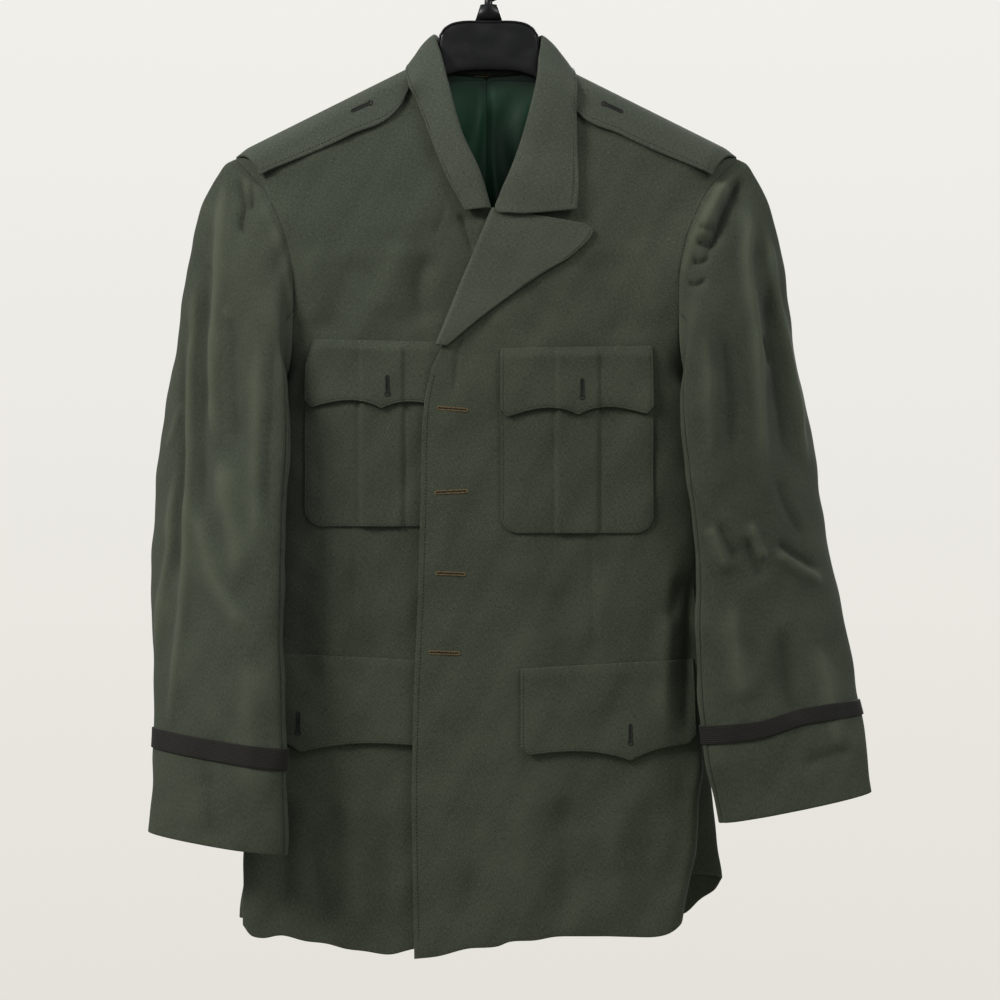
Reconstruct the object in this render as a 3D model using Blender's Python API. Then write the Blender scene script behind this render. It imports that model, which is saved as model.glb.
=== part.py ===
"""A military coat with empty sleeves, hanging on a moulded plastic hanger.

Metres, +Z up. The front faces -Y, so the wearer's right side is at -X. The origin is the crown of the
hook, where a rail carries it. The cloth is thin walls: every panel is a grid of points worked out from
the tables below, given its thickness. All tables and functions are in millimetres, with x measured from
the coat's middle line; only the last step turns them into metres.
"""

import bpy
import numpy as np

MM = 0.001
SHARP_ANGLE = 35
HANGER_MIDDLE = 2.25

# Cloth thicknesses and the gap that parts two pieces at a seam
PANEL = 2.0
COLLAR = 2.5
POCKET = 1.8
STRAP = 2.6
BRAID = 1.6
LINING = 1.0
LABEL = 0.8
SEAM_GAP = 0.3
LAID_GAP = 0.7
STRAP_GAP = 1.7

# Shoulder line: from the side of the neck down to the shoulder tip, over the hanger's arm
NECK_X, NECK_Z = 62.0, -111.0
TIP_X, TIP_Z = 229.0, -195.0
ROLL_AT_NECK, ROLL_AT_TIP = 9.0, 20.0
UNDERARM_Z = -412.0
UNDERARM_ROW = 0.46
SWELL_DROP = 230.0
HALF_CHEST = 190.0
SIDE_FLATTENING = 0.07

# How far the cloth stands before and behind the middle plane: z, front, back
DEPTHS = (
    (-915, 56, 58),
    (-800, 54, 56),
    (-700, 52, 54),
    (-560, 50, 49),
    (-412, 48, 44),
    (-300, 46, 39),
    (-200, 43, 33),
    (-110, 38, 26),
)

# Armhole seam of the left side and the way the sleeve leaves it: angle, x, y, z, out, back, up
ARMHOLE = (
    (-225, 186, 0, -412, 48, -5, -22),
    (-200, 180, -27, -394, 62, -12, -26),
    (-180, 176, -39, -364, 40, -50, -44),
    (-150, 175, -41, -306, 40, -44, -62),
    (-120, 181, -37, -270, 56, -34, -66),
    (-95, 191, -31, -243, 78, -22, -66),
    (-70, 205, -20, -218, 95, -8, -62),
    (-45, 229, 0, -195, 110, 2, -60),
    (-15, 212, 17, -214, 95, 22, -62),
    (15, 198, 27, -243, 80, 26, -74),
    (50, 187, 34, -295, 56, 16, -76),
    (85, 183, 33, -350, 52, 4, -62),
    (112, 183, 22, -392, 50, -6, -40),
    (135, 186, 0, -412, 48, -5, -22),
)
TIP_ANGLE, UNDERARM_ANGLE = -45, 135
# How strongly a sleeve keeps to its way out of the armhole
LEAVING_REACH = 1.5

# Inner edge of each panel from the side of the neck to the hem: x, z
RIGHT_FRONT_EDGE = (
    (-62, -111), (-52, -128), (-37, -165), (-21, -202), (-6, -237), (14, -243),
    (43, -258), (47, -290), (47, -412), (47, -600), (46, -905),
)
LEFT_FRONT_EDGE = (
    (62, -111), (55, -130), (43, -165), (28, -205), (11, -238), (-2, -270), (-12, -297),
    (-26, -333), (-39, -366), (-48.6, -385), (-55, -412), (-57.6, -445), (-58.5, -504),
    (-61, -594), (-65, -684), (-66.6, -774), (-64, -914),
)
BACK_EDGE = ((62, -111), (40, -110), (18, -110.5), (0.15, -111), (0.15, -412), (0.15, -893))

# Upright lines of each panel below the armhole: z, corner x, corner y, seam x, seam y
RIGHT_FRONT_SIDE = (
    (-905, -218, -46, -168, 0),
    (-800, -214, -45, -160, 0),
    (-700, -205, -44, -156, 0),
    (-600, -192, -43, -157, 0),
    (-520, -186, -43, -162, 0),
    (-450, -181, -42, -175, 0),
    (-412, -177, -41, -186, 0),
)
LEFT_FRONT_SIDE = (
    (-895, 163, -44, 136, 2),
    (-800, 184, -45, 148, 1),
    (-700, 193, -44, 154, 0),
    (-600, 190, -43, 157, 0),
    (-520, 186, -43, 162, 0),
    (-450, 181, -42, 175, 0),
    (-412, 177, -41, 186, 0),
)
RIGHT_BACK_SIDE = (
    (-905, -232, 42, -168, 0),
    (-800, -224, 45, -160, 0),
    (-700, -212, 44, -156, 0),
    (-600, -201, 41, -157, 0),
    (-520, -194, 38, -162, 0),
    (-450, -189, 34, -175, 0),
    (-412, -186, 31, -186, 0),
)
LEFT_BACK_SIDE = (
    (-865, 222, 36, 136, 2),
    (-800, 214, 42, 148, 1),
    (-700, 205, 43, 154, 0),
    (-600, 199, 41, 157, 0),
    (-520, 194, 38, 162, 0),
    (-450, 189, 34, 175, 0),
    (-412, 186, 31, 186, 0),
)

# Hems: share of the way from the inner edge to the side seam, z
RIGHT_FRONT_HEM = ((0, -905), (0.3, -909), (0.5, -907), (0.65, -902), (0.78, -895), (0.9, -899), (1, -894))
LEFT_FRONT_HEM = ((0, -914), (0.12, -909), (0.25, -902), (0.42, -896), (0.65, -897), (0.82, -893), (1, -872))
RIGHT_BACK_HEM = ((0, -893), (0.4, -896), (0.75, -899), (1, -894))
LEFT_BACK_HEM = ((0, -893), (0.4, -886), (0.75, -864), (1, -872))

# Sleeves from biceps to cuff: share of the length, outer x, outer z, inner x, inner z,
# middle y, how far the outer edge lies behind the middle, bulge in front, bulge behind
RIGHT_SLEEVE = (
    (0.36, -304, -452, -175, -448, -26, 46, 26, 12),
    (0.54, -309, -558, -179, -556, -38, 42, 26, 14),
    (0.70, -305, -645, -179, -645, -50, 36, 25, 16),
    (0.86, -301, -730, -176, -736, -63, 28, 24, 17),
    (1.00, -302, -802, -175, -816, -72, 20, 23, 18),
)
LEFT_SLEEVE = (
    (0.36, 304, -452, 175, -445, -26, 46, 26, 12),
    (0.54, 317, -556, 187, -560, -38, 40, 26, 14),
    (0.70, 332, -640, 187, -646, -50, 30, 25, 16),
    (0.86, 339, -706, 194, -725, -62, 18, 23, 17),
    (1.00, 344, -765, 207, -790, -70, 8, 22, 17),
)
FRONT_SEAM_ANGLE, BACK_SEAM_ANGLE = -164, 14
SLEEVE_LENGTH = 560.0
# Cuff braid: share of the sleeve's length at its middle, width, even rise to the outer side, height of
# its step
BRAIDS = {
    "right": dict(middle=0.853, width=19.0, rise=8.0, step=0.0),
    "left": dict(middle=0.832, width=19.0, rise=-5.0, step=10.0),
}

# Collar from its right end round the back to its left end. Each row: neck seam x, y, z; roll x, y, z;
# outer edge x, y, z
COLLAR_ROWS = (
    (-8, -43, -236, 3.6, -48, -241, -19, -48, -243),
    (-21, -37, -203, -6.5, -45, -207, -36, -42, -211),
    (-36, -28.7, -168, -23, -39, -170, -51, -33, -173),
    (-50, -18.7, -132, -35, -29, -126, -62, -24.5, -143),
    (-57, -13.5, -118, -42, -15, -97, -71, -23, -125),
    (-59, -1, -107, -48, 0, -75, -73, 3, -104.5),
    (-40, 12.2, -107, -37, 20, -78, -54, 19.5, -121),
    (0, 14.5, -107.5, 0, 24, -79, 0, 22.5, -127),
    (40, 12.2, -107, 39, 20, -78, 58, 19.5, -121),
    (59, -1, -107, 51.5, 0, -76, 80, 3.5, -107.5),
    (60, -13.5, -118, 49.5, -14, -98, 83, -23, -128.5),
    (55, -18.7, -132, 46.5, -29, -126, 82.5, -26, -153),
    (44, -28.7, -168, 33, -39, -178, 83, -35, -190),
    (31, -39, -203, 21.6, -47.5, -211, 84, -41, -218),
    (16, -47, -234, 9, -52, -238, 82, -46, -242),
)

# Left lapel: share of the way down the roll line, roll x, roll z, outer x, outer z
LAPEL_ROWS = (
    (0.00, 8.5, -241, 89, -254),
    (0.06, 6, -247, 97, -261),
    (0.18, 0, -262, 81, -281),
    (0.36, -9, -284, 53, -299),
    (0.56, -20, -310, 27, -317),
    (0.78, -32, -340, -5, -341),
    (1.00, -42, -365, -35, -366),
)
LAPEL_ROLL = 2.4
LAPEL_LIFT = 3.8

# Pockets and flaps: distances from the middle line and heights
BREAST_POCKET = dict(inner=13, outer=151, top=-384, bottom=-534, corner=16, level=-440)
BREAST_FLAP = dict(inner=13, outer=151, top=-368, side=57, point=59, dip=8, pleat=True, level=-440)
LOWER_FLAP = dict(inner=31, outer=189, top=-655, side=78, point=88, dip=4, pleat=False, level=-700)
RIGHT_BREAST_SHIFT = dict(across=12, up=6)
RIGHT_LOWER_SHIFT = dict(across=10, up=6)
FLAP_SLOPE = 8.0
PLEAT_HALF_WIDTH = 20.0
PLEAT_LIFT = 1.7

# Shoulder straps: share of the length from the neck end, how far the front edge and the back edge lie
# below the shoulder line; x at the neck, then at the armhole on the shoulder line, in front and behind
STRAP_ROWS = (
    (0.00, 17, 1),
    (0.05, 30, 5),
    (0.40, 36, 8),
    (1.00, 31, 12),
)
STRAP_NECK_X, STRAP_TIP_X, STRAP_FRONT_X, STRAP_BACK_X = 64.0, 228.0, 205.0, 217.0

# Lining behind the neck and the tab on it
LINING_HALF_WIDTH, LINING_TOP, LINING_BOTTOM, LINING_TOP_RISE = 55.0, -114.0, -262.0, -3.0
TAB_HALF_WIDTH, TAB_TOP, TAB_BOTTOM, TAB_Y = 12.0, -99.9, -110.4, 12.2

# Hanger: distance from its middle, top z, bottom z, half thickness, squareness (1 round, 0 square)
HUMP_ROWS = (
    (0, -61.8, -107, 6, 0.3),
    (28, -62.4, -109, 6, 0.3),
    (37, -65.5, -112, 6, 0.3),
    (43, -71.5, -115, 6, 0.35),
    (45.5, -79, -120, 5.5, 0.4),
    (46.3, -93, -125, 5.5, 0.5),
    (50, -110, -130, 5.5, 0.7),
)
ARM_START, ARM_END = 60.0, 200.0
ARM_TIP = ((6, 0.9), (11, 0.68), (14, 0.36))
ARM_CLEARANCE = 2.5
ARM_HEIGHT_SHARE = 0.9
HOOK_RADIUS = 22.0
HOOK_THICKNESS = 8.0
HOOK_START, HOOK_END = -40, 145
HOOK_NECK_Z, HOOK_BEND_Z = -46.5, -43.0
HOOK_BEND_PULLS = 5.0, 7.0
HOOK_FOOT_HALF, HOOK_NECK_HALF = 12.7, 7.8

CLOTH_COLOUR = (0.047, 0.058, 0.040)
LINING_COLOUR = (0.012, 0.046, 0.022)
BRAID_COLOUR = (0.020, 0.016, 0.013)
LABEL_COLOUR = (0.16, 0.14, 0.07)
PLASTIC_COLOUR = (0.010, 0.010, 0.011)


def clear_scene():
    for thing in list(bpy.data.objects):
        bpy.data.objects.remove(thing, do_unlink=True)


def material(name, colour, roughness):
    made = bpy.data.materials.new(name)
    made.use_nodes = True
    shader = made.node_tree.nodes["Principled BSDF"]
    shader.inputs["Base Color"].default_value = (*colour, 1.0)
    shader.inputs["Roughness"].default_value = roughness
    return made


def spline(at, knots, values):
    """A smooth curve through the values at the knots, its slope there the mean of its neighbours'."""
    knots = np.asarray(knots, float)
    values = np.asarray(values, float).reshape(len(knots), -1)
    chords = np.diff(values, axis=0) / np.diff(knots)[:, None]
    slopes = np.vstack([chords[:1], (chords[:-1] + chords[1:]) / 2, chords[-1:]])
    at = np.clip(np.asarray(at, float), knots[0], knots[-1])
    first = np.clip(np.searchsorted(knots, at, side="right") - 1, 0, len(knots) - 2)
    span = (knots[first + 1] - knots[first])[..., None]
    s = (at[..., None] - knots[first][..., None]) / span
    return (
        (2 * s**3 - 3 * s**2 + 1) * values[first]
        + (s**3 - 2 * s**2 + s) * span * slopes[first]
        + (3 * s**2 - 2 * s**3) * values[first + 1]
        + (s**3 - s**2) * span * slopes[first + 1]
    )


def table(at, rows):
    """The other columns of a table, read smoothly at values of its first column."""
    rows = np.array(sorted(rows), float)
    return spline(at, rows[:, 0], rows[:, 1:])


def smooth(t):
    """A ramp from 0 to 1 that starts and ends level."""
    t = np.clip(t, 0, 1)
    return t * t * (3 - 2 * t)


def resampled(line, count):
    """The polyline's points at equal steps of its length."""
    line = np.asarray(line, float)
    lengths = np.concatenate([[0], np.cumsum(np.linalg.norm(np.diff(line, axis=0), axis=1))])
    at = np.linspace(0, lengths[-1], count)
    return np.stack([np.interp(at, lengths, column) for column in line.T], axis=1)


def ridge_z(x):
    """Height of the shoulder line."""
    return NECK_Z + (TIP_Z - NECK_Z) * (np.abs(x) - NECK_X) / (TIP_X - NECK_X)


def roll_radius(x):
    """Radius with which the cloth rolls over the hanger's arm."""
    share = np.clip((np.abs(x) - NECK_X) / (TIP_X - NECK_X), 0, 1)
    return ROLL_AT_NECK + (ROLL_AT_TIP - ROLL_AT_NECK) * share


def depth(x, z, back):
    """How far the cloth stands from the middle plane: a quarter circle over the arm, then a slow swell
    down to the table's depth, and a little less towards the sides."""
    drop = np.maximum(ridge_z(x) - z, 0)
    radius = roll_radius(x)
    quarter = radius * np.sqrt(1 - (1 - np.minimum(drop / radius, 1)) ** 2)
    full = table(z, DEPTHS)[..., 1 if back else 0]
    swell = 1 - (1 - np.clip(drop / SWELL_DROP, 0, 1)) ** 2
    sideways = 1 - SIDE_FLATTENING * (x / HALF_CHEST) ** 2
    return quarter + (full * sideways - radius) * swell


def armhole(angle, sign):
    """The armhole seam at an angle round it, and the sleeve's way out of it."""
    angle = (np.asarray(angle, float) + 225) % 360 - 225
    both = table(angle, ARMHOLE)
    mirror = np.array([sign, 1, 1])
    return both[..., :3] * mirror, both[..., 3:] * mirror


PANELS = {
    "right_front": dict(sign=-1, back=False, edge=RIGHT_FRONT_EDGE, side=RIGHT_FRONT_SIDE, hem=RIGHT_FRONT_HEM),
    "left_front": dict(sign=1, back=False, edge=LEFT_FRONT_EDGE, side=LEFT_FRONT_SIDE, hem=LEFT_FRONT_HEM),
    "back_right": dict(
        sign=-1, back=True, edge=[(-x, z) for x, z in BACK_EDGE], side=RIGHT_BACK_SIDE, hem=RIGHT_BACK_HEM
    ),
    "back_left": dict(sign=1, back=True, edge=BACK_EDGE, side=LEFT_BACK_SIDE, hem=LEFT_BACK_HEM),
}
# Shares of a panel's width where its rows are set: inner edge, middle, corner, side seam
STATIONS = (0, 0.45, 0.8, 1)
CORNER_SHARE = 0.84
MIDDLE_DROP_SHARE = 0.47
# The left front stands this far off the right one: beside the lapel, and over the right pocket
OVERLAP_LIFTS = (3.4, 8.2)
LINE_POINTS = 200


def overlap_lift(x, z):
    """How far the left front stands before the right one where it covers it, and its pocket below."""
    lapel, pocket = OVERLAP_LIFTS
    lift = lapel + (pocket - lapel) * smooth((-310 - z) / 55)
    return lift * smooth((125 - x) / 85) * smooth((-170 - z) / 60)


def panel_lines(name):
    """The panel's inner edge and outer edge as x, y, z at equal steps, in an upper and a lower run."""
    spec = PANELS[name]
    facing = 1 if spec["back"] else -1
    edge = np.array(spec["edge"], float)
    split = int(np.argmin(np.abs(edge[:, 1] - UNDERARM_Z)))
    inner = []
    for run in (edge[: split + 1], edge[split:]):
        line = resampled(run, LINE_POINTS)
        y = facing * depth(line[:, 0], line[:, 1], spec["back"])
        inner.append(np.stack([line[:, 0], y, line[:, 1]], axis=1))
    end = UNDERARM_ANGLE if spec["back"] else UNDERARM_ANGLE - 360
    round_seam, _ = armhole(np.linspace(TIP_ANGLE, end, 3 * LINE_POINTS), spec["sign"])
    round_seam[0, 1] = 0
    seam_z = np.linspace(UNDERARM_Z, spec["hem"][-1][1], LINE_POINTS)
    seam = table(seam_z, spec["side"])
    below = np.stack([seam[:, 2], seam[:, 3], seam_z], axis=1)
    return inner, (resampled(round_seam, LINE_POINTS), below)


def panel(name, u, v):
    """The middle surface of a panel. u runs from the inner edge (0) to the side seam (1), v from the
    shoulder (0) past the underarm to the hem (1). Each row is a smooth curve through four stations:
    the inner edge, the middle, the corner where the cloth turns back, and the armhole or side seam."""
    spec = PANELS[name]
    facing = 1 if spec["back"] else -1
    u, v = np.broadcast_arrays(np.asarray(u, float), np.asarray(v, float))
    inner, outer = panel_lines(name)
    steps = np.linspace(0, 1, LINE_POINTS)
    upper = np.clip(v / UNDERARM_ROW, 0, 1)
    lower = np.clip((v - UNDERARM_ROW) / (1 - UNDERARM_ROW), 0, 1)
    is_low = (v > UNDERARM_ROW)[..., None]

    def along(lines):
        above = np.stack([np.interp(upper, steps, lines[0][:, k]) for k in range(3)], axis=-1)
        below = np.stack([np.interp(lower, steps, lines[1][:, k]) for k in range(3)], axis=-1)
        return np.where(is_low, below, above)

    start, end = along(inner), along(outer)
    side = table(np.minimum(end[..., 2], UNDERARM_Z), spec["side"])
    share = smooth((v / UNDERARM_ROW - 0.72) / 0.28)
    across = end - start
    corner_x = (1 - share) * (start[..., 0] + CORNER_SHARE * across[..., 0]) + share * side[..., 0]
    middle_x = (start[..., 0] + corner_x) / 2
    middle_z = start[..., 2] + MIDDLE_DROP_SHARE * across[..., 2]
    corner_z = start[..., 2] + CORNER_SHARE * across[..., 2]
    middle_y = facing * depth(middle_x, middle_z, spec["back"])
    corner_y = (1 - share) * facing * depth(corner_x, corner_z, spec["back"]) + share * side[..., 1]
    middle = np.stack([middle_x, middle_y, middle_z], axis=-1)
    corner = np.stack([corner_x, corner_y, corner_z], axis=-1)
    beyond_side = np.stack([corner_x, end[..., 1] - facing * 60, end[..., 2]], axis=-1)
    beyond_arm = end + 0.5 * (end - corner)
    beyond = share[..., None] * beyond_side + (1 - share[..., None]) * beyond_arm
    before = 2 * start - middle
    before[..., 1] = middle[..., 1]
    places = (before, start, middle, corner, end, beyond)
    knots = (-STATIONS[1],) + STATIONS + (1.45,)
    points = np.zeros(u.shape + (3,))
    for first in range(1, 4):
        inside = (u >= knots[first]) & ((u < knots[first + 1]) | (first == 3))
        span = knots[first + 1] - knots[first]
        s = ((u - knots[first]) / span)[..., None]
        a, b = places[first], places[first + 1]
        slope_a = (b - places[first - 1]) / (knots[first + 1] - knots[first - 1]) * span
        slope_b = (places[first + 2] - a) / (knots[first + 2] - knots[first]) * span
        curve = (
            (2 * s**3 - 3 * s**2 + 1) * a
            + (s**3 - 2 * s**2 + s) * slope_a
            + (3 * s**2 - 2 * s**3) * b
            + (s**3 - s**2) * slope_b
        )
        points = np.where(inside[..., None], curve, points)
    hem = table(u, spec["hem"])[..., 0]
    straight = spec["hem"][0][1] + u * (spec["hem"][-1][1] - spec["hem"][0][1])
    points[..., 2] += (hem - straight) * lower**5
    if name == "left_front":
        points[..., 1] -= overlap_lift(points[..., 0], points[..., 2])
    return points


def sleeve(name, angle, v):
    """The middle surface of a sleeve. Below the biceps each ring is a flat oval between its outer and
    inner edge, turned so that the outer edge lies behind, with its own bulge before and behind. Above,
    every line round the ring runs in one smooth curve up to its place on the armhole."""
    sign, rows = (-1, RIGHT_SLEEVE) if name == "right" else (1, LEFT_SLEEVE)
    angle, v = np.broadcast_arrays(np.asarray(angle, float), np.asarray(v, float))
    biceps = rows[0][0]

    def ring(at):
        outer_x, outer_z, inner_x, inner_z, middle_y, turn, before, behind = np.moveaxis(table(at, rows), -1, 0)
        cosine, sine = np.cos(np.radians(angle)), np.sin(np.radians(angle))
        x = (outer_x + inner_x) / 2 + (outer_x - inner_x) / 2 * cosine
        z = (outer_z + inner_z) / 2 + (outer_z - inner_z) / 2 * cosine
        y = middle_y + turn * cosine + np.where(sine < 0, before, behind) * sine
        return np.stack([x, y, z], axis=-1)

    below = ring(np.maximum(v, biceps))
    step = 0.02
    start, leaving = armhole(angle, sign)
    arriving = (ring(np.full(v.shape, biceps + step)) - ring(np.full(v.shape, biceps))) / step * biceps
    end = ring(np.full(v.shape, biceps))
    s = np.clip(v / biceps, 0, 1)[..., None]
    leaving = leaving * LEAVING_REACH
    above = (
        (2 * s**3 - 3 * s**2 + 1) * start
        + (s**3 - 2 * s**2 + s) * leaving
        + (3 * s**2 - 2 * s**3) * end
        + (s**3 - s**2) * arriving
    )
    return np.where((v < biceps)[..., None], above, below)


def normals_of(surface, u, v, step):
    """Unit normals of a surface of two parameters, from two near points each way along it."""
    u, v = np.broadcast_arrays(np.asarray(u, float), np.asarray(v, float))
    across = surface(u + step[0], v) - surface(u - step[0], v)
    along = surface(u, v + step[1]) - surface(u, v - step[1])
    normals = np.cross(across, along)
    return normals / np.maximum(np.linalg.norm(normals, axis=-1, keepdims=True), 1e-12)


def outward(normals, like):
    """The normals, all turned over if they mostly point against a direction."""
    return normals if np.sum(normals * like) > 0 else -normals


def faces_of_wall(rows, columns, closed, twisted):
    """Quads of the outer and inner skin of a wall and of its rims. Those of a twisted wall start at the
    same corner on both skins, so that both split along the same diagonal."""
    index = np.arange(rows * columns).reshape(rows, columns)
    ends = np.vstack([index, index[:1]]) if closed else index
    a, b, c, d = ends[:-1, :-1], ends[1:, :-1], ends[1:, 1:], ends[:-1, 1:]
    skin = np.stack([a, b, c, d], axis=-1).reshape(-1, 4)
    shift = rows * columns
    rims = [(ends[:, 0], -1), (ends[:, -1], 1)]
    if not closed:
        rims += [(ends[0, :], 1), (ends[-1, :], -1)]
    quads = [skin, (skin[:, [0, 3, 2, 1]] if twisted else skin[:, ::-1]) + shift]
    for line, way in rims:
        line = line[::way]
        quads.append(np.stack([line[1:], line[:-1], line[:-1] + shift, line[1:] + shift], axis=-1)[:, ::-1])
    return np.concatenate(quads)


def signed_volume(points, quads):
    """Six times the volume within the quads, below zero if they face inwards."""
    a, b, c, d = (points[quads[:, k]] for k in range(4))
    return np.sum(np.cross(a, b) * c) + np.sum(np.cross(a, c) * d)


def solid(name, points, quads, look, caps=()):
    """An object of these points in millimetres, faces out. Caps are the triangles that close a loft."""
    faces = quads.tolist() + [list(cap) for cap in caps]
    if signed_volume(points, quads) < 0:
        faces = [face[::-1] for face in faces]
    mesh = bpy.data.meshes.new(name)
    mesh.from_pydata(((points - (HANGER_MIDDLE, 0, 0)) * MM).tolist(), [], faces)
    mesh.validate()
    mesh.materials.append(look)
    mesh.shade_smooth()
    mesh.set_sharp_from_angle(angle=np.radians(SHARP_ANGLE))
    made = bpy.data.objects.new(name, mesh)
    bpy.context.scene.collection.objects.link(made)
    return made


def wall(name, points, normals, thickness, look, closed=False, twisted=False):
    """A sheet of this thickness about a grid of points, with closed rims."""
    rows, columns = points.shape[:2]
    half = normals * thickness / 2
    both = np.concatenate([(points + half).reshape(-1, 3), (points - half).reshape(-1, 3)])
    return solid(name, both, faces_of_wall(rows, columns, closed, twisted), look)


def trimmed(count, low, high, gap):
    """Even steps from low to high, drawn in by the gap at both ends."""
    return np.linspace(low + gap, high - gap, count)


def build_panels(cloth):
    across = np.array([0, 0.09, 0.18, 0.28, 0.38, 0.48, 0.58, 0.67, 0.74, 0.8, 0.85, 0.89, 0.93, 0.965, 1])
    down = np.concatenate([
        UNDERARM_ROW * np.linspace(0, 1, 13) ** 2.2,
        np.linspace(UNDERARM_ROW, 1, 10)[1:],
    ])
    drawn_in = np.where(down < UNDERARM_ROW - 0.001, 0.986, 0.9988)
    u = across[:, None] * drawn_in[None, :]
    v = down[None, :] + 0 * u
    for name, spec in PANELS.items():

        def surface(a, b, name=name):
            return panel(name, np.clip(a, 0, 1), np.clip(b, 0, 1))

        points = surface(u, v)
        apart = SEAM_GAP / 2 + 0.5 * smooth((np.abs(points[:, 0, 0]) - 190) / 20)
        points[:, 0, 1] += apart if spec["back"] else -apart
        normals = normals_of(surface, u, v, (0.001, 0.0004))
        normals[:, 0, 1] = 0
        normals /= np.linalg.norm(normals, axis=-1, keepdims=True)
        wall(name, points, normals, PANEL, cloth)


def build_sleeves(cloth):
    gap = 1.2
    for side in ("right", "left"):
        for name, low, high in (
            ("top_sleeve", FRONT_SEAM_ANGLE, BACK_SEAM_ANGLE),
            ("under_sleeve", BACK_SEAM_ANGLE, FRONT_SEAM_ANGLE + 360),
        ):

            def surface(a, b, side=side):
                return sleeve(side, a, np.clip(b, 0, 1))

            u = trimmed(10, low, high, gap)[:, None]
            start = 0.004 + 0.013 * smooth((-330 - armhole(u, 1)[0][..., 2]) / 50)
            v = start + (1 - start) * np.linspace(0, 1, 17)[None, :]
            normals = normals_of(surface, u, v, (0.2, 0.001))
            wall(f"{name}_{side}", surface(u, v), normals, PANEL, cloth, twisted=True)


def build_braids(braid):
    """A flat band round each cuff, which rises towards the outer side."""
    for side in ("right", "left"):
        spec = BRAIDS[side]
        u = np.linspace(-180, 180, 28, endpoint=False)[:, None]
        cosine = np.cos(np.radians(u))
        rise = spec["rise"] * (cosine + 1) / 2 + spec["step"] * smooth((cosine + 0.45) / 0.8)
        down = spec["width"] * np.linspace(-0.5, 0.5, 3)[None, :] - rise
        v = spec["middle"] + down / SLEEVE_LENGTH

        def surface(a, b, side=side):
            return sleeve(side, a, b)

        points = surface(u, v)
        middle = points.mean(axis=0, keepdims=True)
        normals = outward(normals_of(surface, u, v, (0.2, 0.001)), points - middle)
        lift = PANEL / 2 + BRAID / 2 + LAID_GAP
        wall(f"cuff_braid_{side}", points + normals * lift, normals, BRAID, braid, closed=True)


def collar_surface(s, t):
    """The collar's middle surface. s runs from the right end round the back to the left end, t from the
    neck seam up the stand to the roll and down the fall to the outer edge."""
    s, t = np.broadcast_arrays(np.asarray(s, float), np.asarray(t, float))
    rows = np.array(COLLAR_ROWS, float)
    knots = np.linspace(0, 1, len(rows))
    seam, roll, outer = (spline(s, knots, rows[:, first : first + 3]) for first in (0, 3, 6))
    middle_line = np.stack([np.zeros(s.shape), np.full(s.shape, -8.0), roll[..., 2]], axis=-1)
    away = roll - middle_line
    away = away / np.linalg.norm(away, axis=-1, keepdims=True)
    front = smooth((-roll[..., 2] - 120) / 60)[..., None]
    away = away * (1 - front) + np.array([0, -1, 0]) * front
    stand = seam + 0.72 * (roll - seam) - away * 1.2
    below = roll + 0.2 * (outer - roll) + away * 3.0
    fall = roll + 0.6 * (outer - roll) + away * 2.2
    stops = (0, 0.26, 0.42, 0.56, 0.78, 1)
    points = np.zeros(s.shape + (3,))
    chain = (seam, stand, roll, below, fall, outer)
    slopes = [(chain[1] - chain[0]) / (stops[1] - stops[0])]
    for k in range(1, 5):
        slopes.append((chain[k + 1] - chain[k - 1]) / (stops[k + 1] - stops[k - 1]))
    slopes.append((chain[5] - chain[4]) / (stops[5] - stops[4]))
    for k in range(5):
        inside = ((t >= stops[k]) & ((t < stops[k + 1]) | (k == 4)))[..., None]
        span = stops[k + 1] - stops[k]
        q = ((t - stops[k]) / span)[..., None]
        curve = (
            (2 * q**3 - 3 * q**2 + 1) * chain[k]
            + (q**3 - 2 * q**2 + q) * span * slopes[k]
            + (3 * q**2 - 2 * q**3) * chain[k + 1]
            + (q**3 - q**2) * span * slopes[k + 1]
        )
        points = np.where(inside, curve, points)
    return points


def build_collar(cloth):
    across = np.array([0, 0.14, 0.26, 0.35, 0.42, 0.5, 0.6, 0.8, 1])
    u, v = np.linspace(0, 1, 37)[:, None], across[None, :]

    def surface(a, b):
        return collar_surface(np.clip(a, 0, 1), np.clip(b, 0, 1))

    wall("collar", surface(u, v), normals_of(surface, u, v, (0.002, 0.01)), COLLAR, cloth)


def lapel_surface(a, b):
    """The turned-out lapel. a runs down the roll line, b from the panel's edge round the roll and out
    over the left front. The roll is half a circle, and past it the sheet lies a little over the front."""
    a, b = np.broadcast_arrays(np.asarray(a, float), np.asarray(b, float))
    rows = table(a, LAPEL_ROWS)
    roll, outer = rows[..., 0:2], rows[..., 2:4]
    across = outer - roll
    width = np.linalg.norm(across, axis=-1, keepdims=True)
    across = across / width
    turn = np.clip(b / 0.2, 0, 1) * np.pi
    run = np.clip((b - 0.2) / 0.8, 0, 1)
    distance = -LAPEL_ROLL * np.sin(turn) + run * width[..., 0]
    flat = roll + across * distance[..., None]
    lift = np.where(b < 0.2, LAPEL_ROLL * (1 - np.cos(turn)), 2 * LAPEL_ROLL + run * (LAPEL_LIFT - 2 * LAPEL_ROLL))
    x, z = flat[..., 0], flat[..., 1]
    y = -depth(x, z, False) - overlap_lift(x, z) - lift
    return np.stack([x, y, z], axis=-1)


def build_lapel(cloth):
    across = np.array([0, 0.05, 0.1, 0.15, 0.2, 0.36, 0.55, 0.78, 1])
    u, v = np.linspace(0, 1, 13)[:, None], across[None, :]

    def surface(a, b):
        return lapel_surface(np.clip(a, 0, 1), np.clip(b, 0, 1))

    wall("left_lapel", surface(u, v), normals_of(surface, u, v, (0.004, 0.01)), COLLAR, cloth)


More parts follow.
